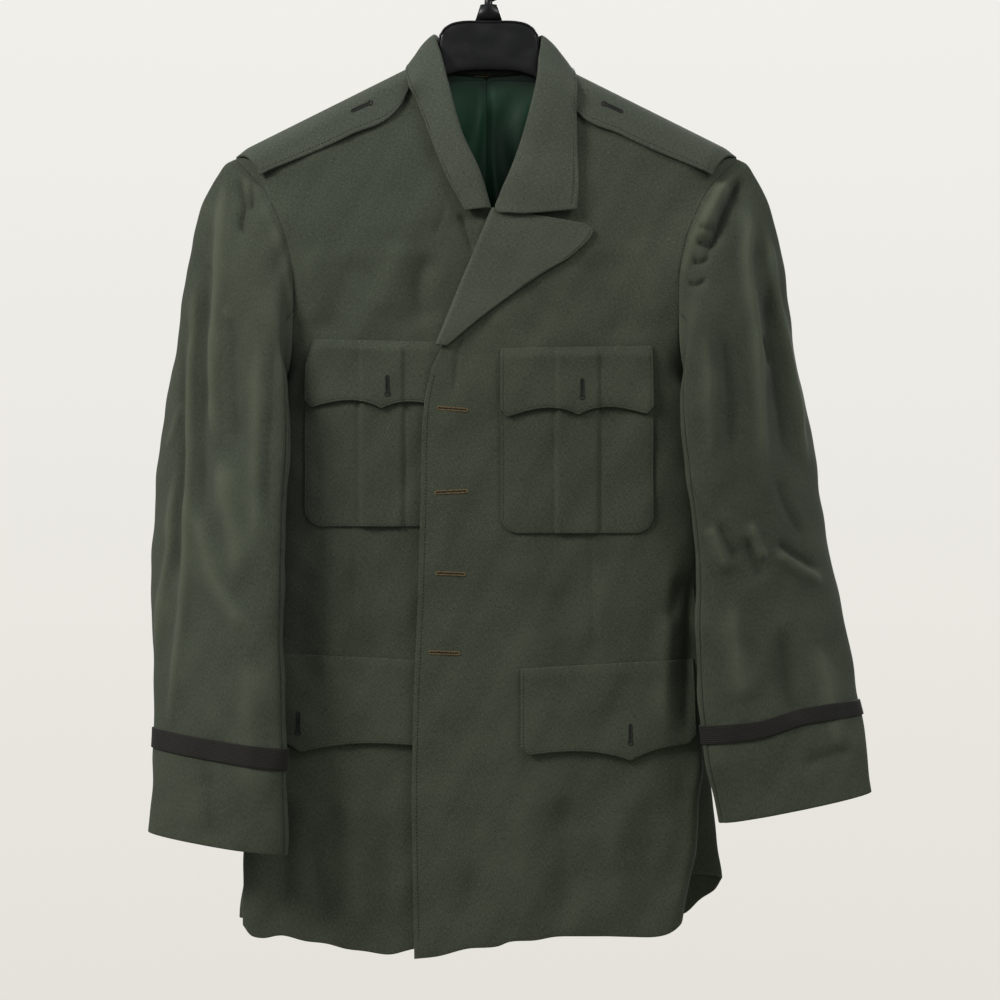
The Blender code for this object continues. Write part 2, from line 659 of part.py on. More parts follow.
def front_sheet(name, distance, z, over, level):
    """Points over a front panel, and its normals there, at distances from the middle line and heights z.
    The distance is the way across, to which the turn of the cloth round its corner is added as it is at
    one level. Newton's method finds each point's place on the panel."""
    sign = PANELS[name]["sign"]
    fine = np.linspace(0, 1, 241)
    level_v = float(np.interp(-level, -panel(name, 0.5, fine)[:, 2], fine))
    section = panel(name, fine, level_v)
    steps = np.linalg.norm(np.diff(section[:, :2], axis=0), axis=1)
    lengths = sign * section[0, 0] + np.concatenate([[0], np.cumsum(steps)])
    turned = lengths - sign * section[:, 0]
    distance = np.broadcast_to(distance[:, None], z.shape)
    u = np.interp(distance, lengths, fine)
    v = np.full(z.shape, level_v)

    def place(a, b):
        point = panel(name, a, b)
        return sign * point[..., 0] + np.interp(a, fine, turned), point[..., 2]

    step = 0.0005
    for _ in range(12):
        across, height = place(u, v)
        across_u, height_u = place(np.minimum(u + step, 1), v)
        across_v, height_v = place(u, np.minimum(v + step, 1))
        a, b = (across_u - across) / step, (across_v - across) / step
        c, d = (height_u - height) / step, (height_v - height) / step
        miss, drop = distance - across, z - height
        whole = a * d - b * c
        whole = np.where(np.abs(whole) < 1e-6, 1e-6, whole)
        u = np.clip(u + np.clip((d * miss - b * drop) / whole, -0.1, 0.1), 0, 0.998)
        v = np.clip(v + np.clip((a * drop - c * miss) / whole, -0.1, 0.1), 0, 0.998)

    def surface(a, b):
        return panel(name, np.clip(a, 0, 1), np.clip(b, 0, 1))

    normals = outward(normals_of(surface, u, v, (0.002, 0.001)), np.array([0, -1.0, 0]))
    return surface(u, v) + normals * over[..., None], normals


def pleat(offset):
    """Height of the box pleat over the pocket at a distance from its middle."""
    return PLEAT_LIFT * smooth((PLEAT_HALF_WIDTH - np.abs(offset)) / 2.5)


def build_breast_pockets(cloth):
    spec = BREAST_POCKET
    lift = PANEL / 2 + POCKET / 2 + LAID_GAP
    middle = (spec["inner"] + spec["outer"]) / 2
    half = (spec["outer"] - spec["inner"]) / 2
    steps = np.array([-1, -0.9, -0.75, -0.5, -0.31, -0.25, 0, 0.25, 0.31, 0.5, 0.75, 0.9, 1])
    for name, side, shift in (("left_front", "left", dict(across=0, up=0)), ("right_front", "right", RIGHT_BREAST_SHIFT)):
        offset = steps * half
        corner = np.maximum(np.abs(offset) - (half - spec["corner"]), 0)
        rise = spec["corner"] - np.sqrt(np.maximum(spec["corner"] ** 2 - corner**2, 0))
        top, bottom = spec["top"] + shift["up"], spec["bottom"] + shift["up"]
        share = np.linspace(0, 1, 7)[None, :]
        z = top + (bottom + rise[:, None] - top) * share
        over = lift + pleat(offset)[:, None] + np.zeros_like(z)
        points, normals = front_sheet(name, middle + shift["across"] + offset, z, over, spec["level"])
        wall(f"breast_pocket_{side}", points, normals, POCKET, cloth)


def build_flaps(cloth):
    on_panel = PANEL / 2 + POCKET / 2 + LAID_GAP
    for kind, spec, shift in (
        ("breast_flap", BREAST_FLAP, RIGHT_BREAST_SHIFT),
        ("lower_flap", LOWER_FLAP, RIGHT_LOWER_SHIFT),
    ):
        middle = (spec["inner"] + spec["outer"]) / 2
        half = (spec["outer"] - spec["inner"]) / 2
        steps = np.array([-1, -0.93, -0.8, -0.55, -0.31, -0.25, 0, 0.25, 0.31, 0.55, 0.75, 0.85, 0.92, 0.97, 1])
        offset = steps * half
        share = np.abs(steps)
        scallop = spec["side"] - spec["dip"] * np.sin(np.pi * share) + (spec["point"] - spec["side"]) * (1 - share) ** 2
        corner = 7 * smooth((share - 0.9) / 0.1)
        for side, name, moved in (("left", "left_front", dict(across=0, up=0)), ("right", "right_front", shift)):
            slope = FLAP_SLOPE * (steps + 1) / 2 if kind == "lower_flap" else 3 * (steps + 1) / 2
            top = spec["top"] + moved["up"] + slope
            rows = np.array([0, 0.12, 0.35, 0.68, 1])[None, :]
            z = top[:, None] - (scallop - corner)[:, None] * rows
            over = np.full(z.shape, on_panel)
            if spec["pleat"]:
                over = over + smooth(rows / 0.12) * (POCKET + LAID_GAP + pleat(offset)[:, None])
            points, normals = front_sheet(name, middle + moved["across"] + offset, z, over, spec["level"])
            wall(f"{kind}_{side}", points, normals, POCKET, cloth)


def strap_surface(sign, a, w):
    """The cloth under a shoulder strap. a runs from the neck end to the armhole, w from its front edge
    (-1) over the shoulder line (0) to its back edge (1)."""
    a, w = np.broadcast_arrays(np.asarray(a, float), np.asarray(w, float))
    rows = table(a, STRAP_ROWS)
    side_x = np.where(w < 0, STRAP_FRONT_X, STRAP_BACK_X)
    end_x = STRAP_TIP_X + (side_x - STRAP_TIP_X) * np.abs(w)
    x = STRAP_NECK_X + (end_x - STRAP_NECK_X) * a
    drop = np.where(w < 0, rows[..., 0], rows[..., 1]) * w**2
    z = ridge_z(x) - drop
    y = np.where(w < 0, -depth(x, z, False), depth(x, z, True))
    return np.stack([sign * x, y, z], axis=-1)


def build_straps(cloth):
    lift = PANEL / 2 + STRAP / 2 + STRAP_GAP
    for side, sign in (("right", -1), ("left", 1)):

        def surface(a, b, sign=sign):
            return strap_surface(sign, np.clip(a, 0, 1), b)

        u, v = np.linspace(0, 1, 11)[:, None], np.linspace(-1, 1, 10)[None, :]
        normals = outward(normals_of(surface, u, v, (0.004, 0.02)), np.array([0, 0, 1.0]))
        wall(f"shoulder_strap_{side}", surface(u, v) + normals * lift, normals, STRAP, cloth)


def back_inside(sign, inward):
    """The inside of the back at a distance in from its middle surface, as a surface of x and z."""

    def surface(x, z):
        x, z = np.broadcast_arrays(np.asarray(x, float), np.asarray(z, float))
        return np.stack([sign * x, depth(x, z, True) - inward, z], axis=-1)

    return surface


def build_lining(lining, tan):
    """The lining behind the neck, on the inside of the back, and the small flat tab above it."""
    inward = PANEL / 2 + LINING / 2 + LAID_GAP
    for side, sign in (("right", -1), ("left", 1)):
        x = np.linspace(SEAM_GAP, LINING_HALF_WIDTH, 8)[:, None]
        top = LINING_TOP + LINING_TOP_RISE * (x / LINING_HALF_WIDTH) ** 2
        z = top + (LINING_BOTTOM - top) * np.linspace(0, 1, 8)[None, :]
        surface = back_inside(sign, inward)
        wall(f"back_lining_{side}", surface(x, z), normals_of(surface, x, z, (0.5, 0.5)), LINING, lining)
    x, z = np.broadcast_arrays(
        np.linspace(-TAB_HALF_WIDTH, TAB_HALF_WIDTH, 3)[:, None], np.linspace(TAB_TOP, TAB_BOTTOM, 3)[None, :]
    )
    points = np.stack([x, np.full(x.shape, TAB_Y), z], axis=-1)
    wall("neck_label", points, np.zeros(points.shape) + (0, -1.0, 0), LABEL, tan)


def hanger_section(distance, top, bottom, half, squareness, count=12):
    angles = np.linspace(0, 2 * np.pi, count, endpoint=False)
    cosine, sine = np.cos(angles), np.sin(angles)
    y = half * np.sign(cosine) * np.abs(cosine) ** squareness
    z = (top + bottom) / 2 + (top - bottom) / 2 * np.sign(sine) * np.abs(sine) ** squareness
    return np.stack([np.full(count, distance), y, z], axis=-1)


def build_hanger_body(plastic):
    """The arched middle plate and the two arms, in one loft from tip to tip."""
    halves = []
    for sign in (-1, 1):
        half = [hanger_section(*row) for row in HUMP_ROWS]
        for distance in np.linspace(ARM_START, ARM_END, 8):
            x = distance + sign * HANGER_MIDDLE
            top = ridge_z(x) - ARM_CLEARANCE
            thick = roll_radius(x) - ARM_CLEARANCE - 0.4
            half.append(hanger_section(distance, top, top - 2 * thick * ARM_HEIGHT_SHARE, thick, 1.0))
        last = half[-1]
        middle = last.mean(axis=0)
        half += [middle + (last - middle) * size + (out, 0, -0.5 * out) for out, size in ARM_TIP]
        halves.append(half)
    right = [section * (-1, 1, 1) for section in reversed(halves[0][1:])]
    sections = np.array(right + halves[1]) + (HANGER_MIDDLE, 0, 0)
    lofted("hanger_body", sections, plastic)


def lofted(name, sections, plastic):
    """A closed solid through sections of equal count, its two ends capped with a fan."""
    rows, count = sections.shape[:2]
    index = np.arange(rows * count).reshape(rows, count)
    after = np.roll(index, -1, axis=1)
    quads = np.stack([index[:-1], after[:-1], after[1:], index[1:]], axis=-1).reshape(-1, 4)
    points = sections.reshape(-1, 3)
    ends = np.array([sections[0].mean(axis=0), sections[-1].mean(axis=0)])
    first, last = len(points), len(points) + 1
    points = np.concatenate([points, ends])
    low = np.stack([np.full(count, first), after[0], index[0]], axis=-1)
    high = np.stack([np.full(count, last), index[-1], after[-1]], axis=-1)
    solid(name, points, quads, plastic, np.concatenate([low, high]).tolist())


def hook_path(count):
    """Centre line of the hook: a straight stem, a cubic bend to one side, then an arc over the rail."""
    centre_z = HOOK_THICKNESS / 2 - HOOK_RADIUS
    turn = np.radians(np.linspace(HOOK_START, HOOK_END, count))
    arc = np.stack([HOOK_RADIUS * np.cos(turn), centre_z + HOOK_RADIUS * np.sin(turn)], axis=1)
    stem = [(0, HUMP_ROWS[0][1] + SEAM_GAP), (0, HOOK_NECK_Z), (0, HOOK_NECK_Z + SEAM_GAP)]
    start = np.array([0, HOOK_BEND_Z])
    first_pull = start + (0, HOOK_BEND_PULLS[0])
    second_pull = arc[0] + HOOK_BEND_PULLS[1] * np.array([np.sin(turn[0]), -np.cos(turn[0])])
    t = np.linspace(0, 1, count // 3, endpoint=False)[:, None]
    bend = (1 - t) ** 3 * start + 3 * t * (1 - t) ** 2 * first_pull + 3 * t**2 * (1 - t) * second_pull + t**3 * arc[0]
    return np.concatenate([stem, bend, arc])


def build_hook(plastic):
    """The moulded foot, stem and hook, swept along one line that starts on the arched plate."""
    path = hook_path(18)
    tangent = np.gradient(path, axis=0)
    tangent /= np.linalg.norm(tangent, axis=1, keepdims=True)
    side = np.stack([tangent[:, 1], -tangent[:, 0]], axis=1)
    half = np.full(len(path), HOOK_THICKNESS / 2)
    half[0], half[1] = HOOK_FOOT_HALF, HOOK_NECK_HALF
    angles = np.linspace(0, 2 * np.pi, 10, endpoint=False)
    sections = []
    for point, across, width in zip(path, side, half):
        reach = width * np.cos(angles)
        section = np.stack(
            [
                HANGER_MIDDLE + point[0] + across[0] * reach,
                HOOK_THICKNESS / 2 * np.sin(angles),
                point[1] + across[1] * reach,
            ],
            axis=-1,
        )
        sections.append(section)
    lofted("hanger_hook", np.array(sections), plastic)


def main():
    clear_scene()
    cloth = material("serge cloth", CLOTH_COLOUR, 0.9)
    lining = material("satin lining", LINING_COLOUR, 0.45)
    braid = material("cuff braid", BRAID_COLOUR, 0.85)
    tan = material("woven tab", LABEL_COLOUR, 0.8)
    plastic = material("black plastic", PLASTIC_COLOUR, 0.4)
    build_panels(cloth)
    build_sleeves(cloth)
    build_braids(braid)
    build_collar(cloth)
    build_lapel(cloth)
    build_straps(cloth)
    build_breast_pockets(cloth)
    build_flaps(cloth)
    build_lining(lining, tan)
    build_hanger_body(plastic)
    build_hook(plastic)


main()
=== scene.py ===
"""Dresses a military coat on its hanger: cloth, creases, stitching, light and camera.

Open it in Blender's text editor and run it, or run it with blender --background --python. The sidebar
panel "Coat" then has a button for each group of pieces. All tables and functions are in millimetres,
with x measured from the coat's middle line and +Z up; only the meshes are in metres. The front faces
-Y, so the wearer's right side is at -X.
"""

import bpy
import numpy as np
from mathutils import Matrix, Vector


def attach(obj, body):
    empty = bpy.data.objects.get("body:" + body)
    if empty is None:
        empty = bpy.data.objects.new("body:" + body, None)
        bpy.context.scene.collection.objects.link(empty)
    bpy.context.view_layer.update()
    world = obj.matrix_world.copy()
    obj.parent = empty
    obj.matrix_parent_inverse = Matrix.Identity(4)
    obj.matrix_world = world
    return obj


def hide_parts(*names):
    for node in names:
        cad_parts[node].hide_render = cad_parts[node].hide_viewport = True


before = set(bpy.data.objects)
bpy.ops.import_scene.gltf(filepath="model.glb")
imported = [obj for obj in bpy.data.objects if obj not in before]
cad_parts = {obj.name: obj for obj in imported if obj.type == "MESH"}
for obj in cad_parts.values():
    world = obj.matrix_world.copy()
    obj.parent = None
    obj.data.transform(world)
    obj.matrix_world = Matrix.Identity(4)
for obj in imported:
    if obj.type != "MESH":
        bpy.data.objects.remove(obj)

bl_info = {
    "name": "Military coat",
    "version": (1, 0, 0),
    "blender": (4, 5, 0),
    "location": "View3D > Sidebar > Coat",
    "description": "Dresses a military coat on a hanger",
    "category": "Add Mesh",
}

MM = 0.001
HANGER_MIDDLE = 2.25

# Cloth thicknesses and the gap that parts two pieces at a seam
PANEL = 2.0
COLLAR = 2.5
POCKET = 1.8
STRAP = 2.6
BRAID = 1.6
LINING = 1.0
LABEL = 0.8
SEAM_GAP = 0.3
LAID_GAP = 0.7
STRAP_GAP = 1.7

# Shoulder line: from the side of the neck down to the shoulder tip, over the hanger's arm
NECK_X, NECK_Z = 62.0, -105.0
TIP_X, TIP_Z = 232.0, -190.0
ROLL_AT_NECK, ROLL_AT_TIP = 9.0, 20.0
UNDERARM_Z = -412.0
UNDERARM_ROW = 0.46
SWELL_DROP = 230.0
HALF_CHEST = 190.0
SIDE_FLATTENING = 0.07

# How far the cloth stands before and behind the middle plane: z, front, back
DEPTHS = (
    (-915, 56, 58),
    (-800, 54, 56),
    (-700, 52, 54),
    (-560, 50, 49),
    (-412, 48, 44),
    (-300, 46, 39),
    (-200, 43, 33),
    (-110, 38, 26),
)

# Armhole seam of the left side and the way the sleeve leaves it: angle, x, y, z, out, back, up
ARMHOLE = (
    (-225, 186, 0, -412, 48, -5, -22),
    (-200, 180, -27, -394, 62, -12, -26),
    (-180, 176, -39, -364, 40, -50, -44),
    (-150, 175, -41, -306, 40, -44, -62),
    (-120, 181, -37, -270, 56, -34, -66),
    (-95, 191, -31, -243, 78, -22, -66),
    (-70, 205, -20, -218, 95, -8, -62),
    (-45, 232, 0, -190, 104, 2, -64),
    (-15, 212, 17, -214, 95, 22, -62),
    (15, 198, 27, -243, 80, 26, -74),
    (50, 187, 34, -295, 56, 16, -76),
    (85, 183, 33, -350, 52, 4, -62),
    (112, 183, 22, -392, 50, -6, -40),
    (135, 186, 0, -412, 48, -5, -22),
)
TIP_ANGLE, UNDERARM_ANGLE = -45, 135
# How strongly a sleeve keeps to its way out of the armhole
LEAVING_REACH = 1.5

# Inner edge of each panel from the side of the neck to the hem: x, z
RIGHT_FRONT_EDGE = (
    (-62, -105), (-52, -127), (-37, -165), (-21, -202), (-6, -237), (14, -243),
    (43, -258), (47, -290), (47, -412), (47, -600), (46, -886),
)
LEFT_FRONT_EDGE = (
    (62, -105), (55, -129), (43, -165), (28, -205), (11, -238), (-2, -270), (-12, -297),
    (-26, -333), (-39, -366), (-48.6, -385), (-55, -412), (-57.6, -445), (-58.5, -504),
    (-61, -594), (-65, -684), (-66.6, -774), (-64, -914),
)
BACK_EDGE = ((62, -105), (40, -108), (18, -110), (0.15, -111), (0.15, -412), (0.15, -893))

# Upright lines of each panel below the armhole: z, corner x, corner y, seam x, seam y
RIGHT_FRONT_SIDE = (
    (-905, -218, -46, -168, 0),
    (-800, -214, -45, -160, 0),
    (-700, -205, -44, -156, 0),
    (-600, -192, -43, -157, 0),
    (-520, -186, -43, -162, 0),
    (-450, -181, -42, -175, 0),
    (-412, -177, -41, -186, 0),
)
LEFT_FRONT_SIDE = (
    (-895, 163, -44, 136, 2),
    (-800, 184, -45, 148, 1),
    (-700, 193, -44, 154, 0),
    (-600, 190, -43, 157, 0),
    (-520, 186, -43, 162, 0),
    (-450, 181, -42, 175, 0),
    (-412, 177, -41, 186, 0),
)
RIGHT_BACK_SIDE = (
    (-905, -232, 42, -168, 0),
    (-800, -224, 45, -160, 0),
    (-700, -212, 44, -156, 0),
    (-600, -201, 41, -157, 0),
    (-520, -194, 38, -162, 0),
    (-450, -189, 34, -175, 0),
    (-412, -186, 31, -186, 0),
)
LEFT_BACK_SIDE = (
    (-865, 222, 36, 136, 2),
    (-800, 214, 42, 148, 1),
    (-700, 205, 43, 154, 0),
    (-600, 199, 41, 157, 0),
    (-520, 194, 38, 162, 0),
    (-450, 189, 34, 175, 0),
    (-412, 186, 31, 186, 0),
)

# Hems: share of the way from the inner edge to the side seam, z
RIGHT_FRONT_HEM = (
    (0, -886), (0.2, -891), (0.32, -902), (0.4, -908), (0.455, -912), (0.51, -909), (0.55, -907),
    (0.59, -902), (0.63, -900), (0.68, -895), (0.73, -898), (0.77, -896), (0.8, -889), (0.84, -885),
    (1, -893),
)
LEFT_FRONT_HEM = (
    (0, -913), (0.08, -911), (0.185, -904.5), (0.29, -903), (0.33, -899), (0.41, -898), (0.48, -895.5),
    (0.58, -897), (0.74, -898), (0.8, -890), (0.86, -876), (0.92, -862), (1, -850),
)
RIGHT_BACK_HEM = ((0, -893), (0.4, -896), (0.75, -899), (1, -894))
LEFT_BACK_HEM = (
    (0, -893), (0.4, -893), (0.58, -902), (0.66, -897), (0.7, -884), (0.76, -873), (0.8, -863), (1, -852),
)

# Sleeves from biceps to cuff: share of the length, outer x, outer z, inner x, inner z,
# middle y, how far the outer edge lies behind the middle, bulge in front, bulge behind
RIGHT_SLEEVE = (
    (0.36, -304, -452, -175, -448, -26, 46, 26, 12),
    (0.54, -309, -558, -179, -556, -38, 42, 26, 14),
    (0.70, -305, -645, -179, -645, -50, 36, 25, 16),
    (0.86, -301, -730, -176, -736, -63, 28, 24, 17),
    (1.00, -302, -802, -175, -816, -72, 20, 23, 18),
)
LEFT_SLEEVE = (
    (0.36, 304, -452, 175, -445, -26, 46, 26, 12),
    (0.54, 317, -556, 187, -560, -38, 40, 26, 14),
    (0.70, 332, -640, 187, -646, -50, 30, 25, 16),
    (0.86, 339, -706, 194, -725, -62, 18, 23, 17),
    (1.00, 344, -765, 207, -790, -70, 8, 22, 17),
)
FRONT_SEAM_ANGLE, BACK_SEAM_ANGLE = -164, 14
SLEEVE_LENGTH = 560.0
# Cuff braid: share of the sleeve's length at its middle, width, even rise to the outer side, height of
# its step
BRAIDS = {
    "right": dict(middle=0.853, width=19.0, rise=8.0, step=0.0),
    "left": dict(middle=0.832, width=19.0, rise=-5.0, step=10.0),
}

# Collar from its right end round the back to its left end. Each row: neck seam x, y, z; roll x, y, z;
# outer edge x, y, z
COLLAR_ROWS = (
    (-8, -43, -236, 3.6, -48, -241, -19, -48, -243),
    (-21, -37, -203, -6.5, -45, -207, -36, -42, -211),
    (-36, -28.7, -168, -23, -39, -170, -51, -33, -173),
    (-50, -18.7, -132, -35, -29, -126, -62, -24.5, -143),
    (-57, -13.5, -118, -42, -15, -97, -71, -23, -125),
    (-59, -1, -107, -48, 0, -75, -73, 3, -104.5),
    (-40, 12.2, -107, -37, 20, -78, -54, 19.5, -121),
    (0, 14.5, -107.5, 0, 24, -79, 0, 22.5, -127),
    (40, 12.2, -107, 39, 20, -78, 58, 19.5, -121),
    (59, -1, -107, 51.5, 0, -76, 80, 3.5, -107.5),
    (60, -13.5, -118, 49.5, -14, -98, 83, -23, -128.5),
    (55, -18.7, -132, 46.5, -29, -126, 82.5, -26, -153),
    (44, -28.7, -168, 33, -39, -178, 83, -35, -190),
    (31, -39, -203, 21.6, -47.5, -211, 84, -41, -218),
    (16, -47, -234, 9, -52, -238, 82, -46, -242),
)

# Left lapel: share of the way down the roll line, roll x, roll z, outer x, outer z
LAPEL_ROWS = (
    (0.00, 8.5, -241, 89, -254),
    (0.06, 6, -247, 97, -261),
    (0.18, 0, -262, 81, -281),
    (0.36, -9, -284, 53, -299),
    (0.56, -20, -310, 27, -317),
    (0.78, -32, -340, -5, -341),
    (1.00, -42, -365, -35, -366),
)
# How far the collar's left end hangs over the lapel, and from which share of its length on
GORGE_DROP, GORGE_START = 7.5, 0.95
# Radius of the lapel's roll, height of its outer edge over the front, and the share of it that is the roll
LAPEL_ROLL, LAPEL_LIFT, LAPEL_ROLL_SHARE = 2.4, 3.8, 0.2

# Pockets and flaps: distances from the middle line and heights
BREAST_POCKET = dict(inner=13, outer=151, top=-384, bottom=-534, corner=16, level=-440)
BREAST_FLAP = dict(inner=13, outer=151, top=-368, side=64, point=62, dip=8.5, pleat=True, level=-440)
LOWER_FLAP = dict(inner=31, outer=189, top=-655, side=78, point=88, dip=4, pleat=False, level=-700)
RIGHT_BREAST_SHIFT = dict(across=12, up=6)
RIGHT_LOWER_SHIFT = dict(across=10, up=6)
UNMOVED = dict(across=0, up=0)
FLAPS = (("breast_flap", BREAST_FLAP, RIGHT_BREAST_SHIFT), ("lower_flap", LOWER_FLAP, RIGHT_LOWER_SHIFT))
SIDES = (("left", "left_front"), ("right", "right_front"))
# How far a flap's top runs up from its inner to its outer end
BREAST_FLAP_SLOPE, LOWER_FLAP_SLOPE = 3.0, 8.0
# A flap's lower corners: where they start, as a share of half its width, and how far they are cut off
FLAP_CORNER_START, FLAP_CORNER_CUT = 0.88, 8.0
PLEAT_HALF_WIDTH = 20.0
PLEAT_LIFT = 1.7

# Shoulder straps: share of the length from the neck end, how far the front edge and the back edge lie
# below the shoulder line; x at the neck, then at the armhole on the shoulder line, in front and behind
STRAP_ROWS = (
    (0.00, 17, 1),
    (0.05, 30, 5),
    (0.40, 36, 8),
    (1.00, 31, 12),
)
STRAP_NECK_X, STRAP_TIP_X, STRAP_FRONT_X, STRAP_BACK_X = 64.0, 231.0, 206.0, 219.0
# The neck end is nearest the neck at this place across it, and bends away from there to both its corners
STRAP_NECK_PLACE, STRAP_NECK_BEND = -0.4, 1.6
STRAP_NECK_BACK, STRAP_NECK_FRONT = 12.0, 6.0

# Lining behind the neck and the tab on it
LINING_HALF_WIDTH, LINING_TOP, LINING_BOTTOM, LINING_TOP_RISE = 55.0, -114.0, -262.0, -3.0
TAB_HALF_WIDTH, TAB_TOP, TAB_BOTTOM, TAB_Y = 12.0, -99.9, -110.4, 12.2

# Hanger: distance from its middle, top z, bottom z, half thickness, squareness (1 round, 0 square)
HUMP_ROWS = (
    (0, -61.8, -107, 6, 0.3),
    (28, -62.4, -109, 6, 0.3),
    (37, -65.5, -112, 6, 0.3),
    (43, -71.5, -115, 6, 0.35),
    (45.5, -79, -120, 5.5, 0.4),
    (46.3, -93, -125, 5.5, 0.5),
    (50, -110, -130, 5.5, 0.7),
)
ARM_START, ARM_END = 60.0, 200.0
ARM_TIP = ((6, 0.9), (11, 0.68), (14, 0.36))
ARM_CLEARANCE = 2.5
ARM_HEIGHT_SHARE = 0.9
# Rim along the top of the hump: radius, how far below the top and how deep in the face its middle lies
RIM_RADIUS, RIM_BELOW_TOP, RIM_SUNK = 1.1, 1.6, 0.6
HOOK_RADIUS = 22.0
HOOK_THICKNESS = 8.0
HOOK_START, HOOK_END = -40, 145
HOOK_NECK_Z, HOOK_BEND_Z = -46.5, -43.0
HOOK_BEND_PULLS = 5.0, 7.0
HOOK_FOOT_HALF, HOOK_NECK_HALF = 12.7, 7.8


def cubic(s, start, leaving, end, arriving):
    """The cubic curve at share s of the way from start to end, with its slopes at both ends."""
    return (
        (2 * s**3 - 3 * s**2 + 1) * start
        + (s**3 - 2 * s**2 + s) * leaving
        + (3 * s**2 - 2 * s**3) * end
        + (s**3 - s**2) * arriving
    )


def unit(vectors):
    """The vectors at length one."""
    return vectors / np.maximum(np.linalg.norm(vectors, axis=-1, keepdims=True), 1e-9)


def spline(at, knots, values):
    """A smooth curve through the values at the knots, its slope there the mean of its neighbours'."""
    knots = np.asarray(knots, float)
    values = np.asarray(values, float).reshape(len(knots), -1)
    chords = np.diff(values, axis=0) / np.diff(knots)[:, None]
    slopes = np.vstack([chords[:1], (chords[:-1] + chords[1:]) / 2, chords[-1:]])
    at = np.clip(np.asarray(at, float), knots[0], knots[-1])
    first = np.clip(np.searchsorted(knots, at, side="right") - 1, 0, len(knots) - 2)
    span = (knots[first + 1] - knots[first])[..., None]
    s = (at[..., None] - knots[first][..., None]) / span
    return cubic(s, values[first], span * slopes[first], values[first + 1], span * slopes[first + 1])


def table(at, rows):
    """The other columns of a table, read smoothly at values of its first column."""
    rows = np.array(sorted(rows), float)
    return spline(at, rows[:, 0], rows[:, 1:])


def smooth(t):
    """A ramp from 0 to 1 that starts and ends level."""
    t = np.clip(t, 0, 1)
    return t * t * (3 - 2 * t)


def resampled(line, count):
    """The polyline's points at equal steps of its length."""
    line = np.asarray(line, float)
    lengths = np.concatenate([[0], np.cumsum(np.linalg.norm(np.diff(line, axis=0), axis=1))])
    at = np.linspace(0, lengths[-1], count)
    return np.stack([np.interp(at, lengths, column) for column in line.T], axis=1)


def ridge_z(x):
    """Height of the shoulder line."""
    return NECK_Z + (TIP_Z - NECK_Z) * (np.abs(x) - NECK_X) / (TIP_X - NECK_X)


def roll_radius(x):
    """Radius with which the cloth rolls over the hanger's arm."""
    share = np.clip((np.abs(x) - NECK_X) / (TIP_X - NECK_X), 0, 1)
    return ROLL_AT_NECK + (ROLL_AT_TIP - ROLL_AT_NECK) * share


def depth(x, z, back):
    """How far the cloth stands from the middle plane: a quarter circle over the arm, then a slow swell
    down to the table's depth, and a little less towards the sides."""
    drop = np.maximum(ridge_z(x) - z, 0)
    radius = roll_radius(x)
    quarter = radius * np.sqrt(1 - (1 - np.minimum(drop / radius, 1)) ** 2)
    full = table(z, DEPTHS)[..., 1 if back else 0]
    swell = 1 - (1 - np.clip(drop / SWELL_DROP, 0, 1)) ** 2
    sideways = 1 - SIDE_FLATTENING * (x / HALF_CHEST) ** 2
    return quarter + (full * sideways - radius) * swell


def armhole(angle, sign):
    """The armhole seam at an angle round it, and the sleeve's way out of it."""
    angle = (np.asarray(angle, float) + 225) % 360 - 225
    both = table(angle, ARMHOLE)
    mirror = np.array([sign, 1, 1])
    return both[..., :3] * mirror, both[..., 3:] * mirror


PANELS = {
    "right_front": dict(
        sign=-1, back=False, edge=RIGHT_FRONT_EDGE, side=RIGHT_FRONT_SIDE, hem=RIGHT_FRONT_HEM
    ),
    "left_front": dict(sign=1, back=False, edge=LEFT_FRONT_EDGE, side=LEFT_FRONT_SIDE, hem=LEFT_FRONT_HEM),
    "back_right": dict(
        sign=-1, back=True, edge=[(-x, z) for x, z in BACK_EDGE], side=RIGHT_BACK_SIDE, hem=RIGHT_BACK_HEM
    ),
    "back_left": dict(sign=1, back=True, edge=BACK_EDGE, side=LEFT_BACK_SIDE, hem=LEFT_BACK_HEM),
}
# Shares of a panel's width where its rows are set: inner edge, middle, corner, side seam
STATIONS = (0, 0.45, 0.8, 1)
CORNER_SHARE = 0.84
MIDDLE_DROP_SHARE = 0.47
# The left front stands this far off the right one: beside the lapel, and over the right pocket
OVERLAP_LIFTS = (3.4, 8.2)
LINE_POINTS = 200
NEWTON_STEPS = 12


def overlap_lift(x, z):
    """How far the left front stands before the right one where it covers it, and its pocket below."""
    lapel, pocket = OVERLAP_LIFTS
    lift = lapel + (pocket - lapel) * smooth((-310 - z) / 55)
    return lift * smooth((125 - x) / 85) * smooth((-170 - z) / 60)


def panel_lines(name):
    """The panel's inner edge and outer edge as x, y, z at equal steps, in an upper and a lower run."""
    spec = PANELS[name]
    facing = 1 if spec["back"] else -1
    edge = np.array(spec["edge"], float)
    split = int(np.argmin(np.abs(edge[:, 1] - UNDERARM_Z)))
    inner = []
    for run in (edge[: split + 1], edge[split:]):
        line = resampled(run, LINE_POINTS)
        y = facing * depth(line[:, 0], line[:, 1], spec["back"])
        inner.append(np.stack([line[:, 0], y, line[:, 1]], axis=1))
    end = UNDERARM_ANGLE if spec["back"] else UNDERARM_ANGLE - 360
    round_seam, _ = armhole(np.linspace(TIP_ANGLE, end, 3 * LINE_POINTS), spec["sign"])
    round_seam[0, 1] = 0
    seam_z = np.linspace(UNDERARM_Z, spec["hem"][-1][1], LINE_POINTS)
    seam = table(seam_z, spec["side"])
    below = np.stack([seam[:, 2], seam[:, 3], seam_z], axis=1)
    return inner, (resampled(round_seam, LINE_POINTS), below)


